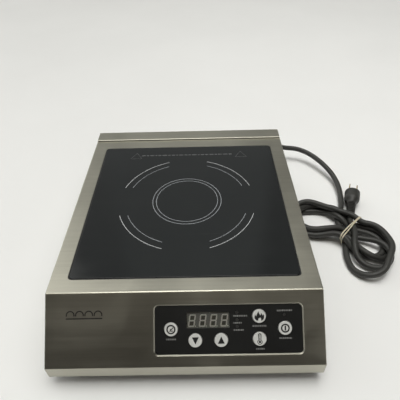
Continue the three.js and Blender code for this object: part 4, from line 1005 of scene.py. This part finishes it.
choke = refined("filter_choke", "choke_copper", ease=0.6, angle=30)
MAT["lead_copper"] = moulded("lead_copper", (0.52, 0.22, 0.085), 0.4, Metallic=0.8)
coil_wire = refined("coil_lead", "lead_copper", ease=0.0, sharp=60)

# ---------------------------------------------------------------- floor, lights
fl = Nodes("floor_pale")
fn = fl.noise(3.0, 4, 0.5)
fl.shader(fl.ramp(fn, [(0.3, (0.790, 0.793, 0.787)), (0.7, (0.820, 0.823, 0.817))]), 0.55, fl.bump(fl.noise(300, 3), 0.05, 0.0002))
bm = bmesh.new()
bmesh.ops.create_grid(bm, x_segments=4, y_segments=4, size=4.0)
me = bpy.data.meshes.new("floor")
bm.to_mesh(me)
bm.free()
me.materials.append(fl.m)
floor = bpy.data.objects.new("floor", me)
scene.collection.objects.link(floor)
floor.location = (0, 1.0, -0.0002)

world = bpy.data.worlds.new("studio")
scene.world = world
world.use_nodes = True
wt = world.node_tree
wt.nodes.clear()
wo = wt.nodes.new("ShaderNodeOutputWorld")
bg = wt.nodes.new("ShaderNodeBackground")
tc = wt.nodes.new("ShaderNodeTexCoord")
sx = wt.nodes.new("ShaderNodeSeparateXYZ")
wt.links.new(tc.outputs["Generated"], sx.inputs[0])


def wr(value, a, b, lo, hi):
    n = wt.nodes.new("ShaderNodeMapRange")
    n.interpolation_type = "SMOOTHSTEP"
    for key, v in zip(("From Min", "From Max", "To Min", "To Max"), (a, b, lo, hi)):
        n.inputs[key].default_value = v
    wt.links.new(value, n.inputs["Value"])
    return n.outputs["Result"]


def wmix(fac, a, b):
    n = wt.nodes.new("ShaderNodeMix")
    n.data_type = "RGBA"
    wt.links.new(fac, n.inputs["Factor"])
    for s_, v in ((n.inputs[6], a), (n.inputs[7], b)):
        if isinstance(v, tuple):
            s_.default_value = (*v, 1)
        else:
            wt.links.new(v, s_)
    return n.outputs[2]


def wmath(op, a, b):
    n = wt.nodes.new("ShaderNodeMath")
    n.operation = op
    for s_, v in zip(n.inputs, (a, b)):
        if isinstance(v, (int, float)):
            s_.default_value = v
        else:
            wt.links.new(v, s_)
    return n.outputs[0]


# a pale wall behind, a lit wall to the left and a shaded one to the right, a dim room in front and a light overhead
front = wmix(wr(sx.outputs["Z"], 0.61, 0.80, 0, 1), (0.008, 0.005, 0.003), (0.455, 0.424, 0.368))
back = wmix(wr(sx.outputs["Z"], 0.58, 0.80, 0, 1), (0.355, 0.360, 0.352), (0.42, 0.43, 0.415))
slant = wmath("DIVIDE", sx.outputs["X"], wmath("MAXIMUM", sx.outputs["Y"], 0.05))
back = wmix(wr(slant, 0.18, 0.25, 0, 1), back, (0.238, 0.233, 0.222))
back = wmix(wr(slant, 0.45, 0.65, 0, 1), back, (0.050, 0.048, 0.045))
back = wmix(wr(slant, -0.27, -0.34, 0, 1), back, (0.330, 0.330, 0.320))
back = wmix(wr(slant, -0.46, -0.66, 0, 1), back, (1.55, 1.55, 1.49))
back = wmix(wr(slant, -1.20, -1.90, 0, 1), back, (0.45, 0.45, 0.44))
sides_ = wmix(wr(sx.outputs["Y"], -0.50, 0.25, 0, 1), front, back)
low = wmix(wr(sx.outputs["Z"], 0.06, 0.20, 0, 1), (0.60, 0.60, 0.585), sides_)
lamp = wmath("MULTIPLY", wr(sx.outputs["Z"], 0.915, 0.985, 0, 1), wr(sx.outputs["Y"], -0.34, -0.14, 0, 1))
sky = wmix(lamp, low, (5.4, 5.4, 5.2))
wt.links.new(sky, bg.inputs["Color"])
bg.inputs["Strength"].default_value = 1.0
wt.links.new(bg.outputs[0], wo.inputs["Surface"])


def area(name, at_, to, size, watts, color=(1, 1, 1)):
    d = bpy.data.lights.new(name, "AREA")
    d.shape = "RECTANGLE"
    d.size, d.size_y = size
    d.energy = watts
    d.color = color
    o = bpy.data.objects.new(name, d)
    o.location = at_
    o.rotation_euler = (Vector(to) - Vector(at_)).to_track_quat("-Z", "Y").to_euler()
    scene.collection.objects.link(o)
    return o


key = area("softbox", (0.42, 0.22, 1.5), (0.05, 0.0, 0.0), (1.1, 0.9), 7.9, (1.0, 0.99, 0.97))
key.visible_glossy = False
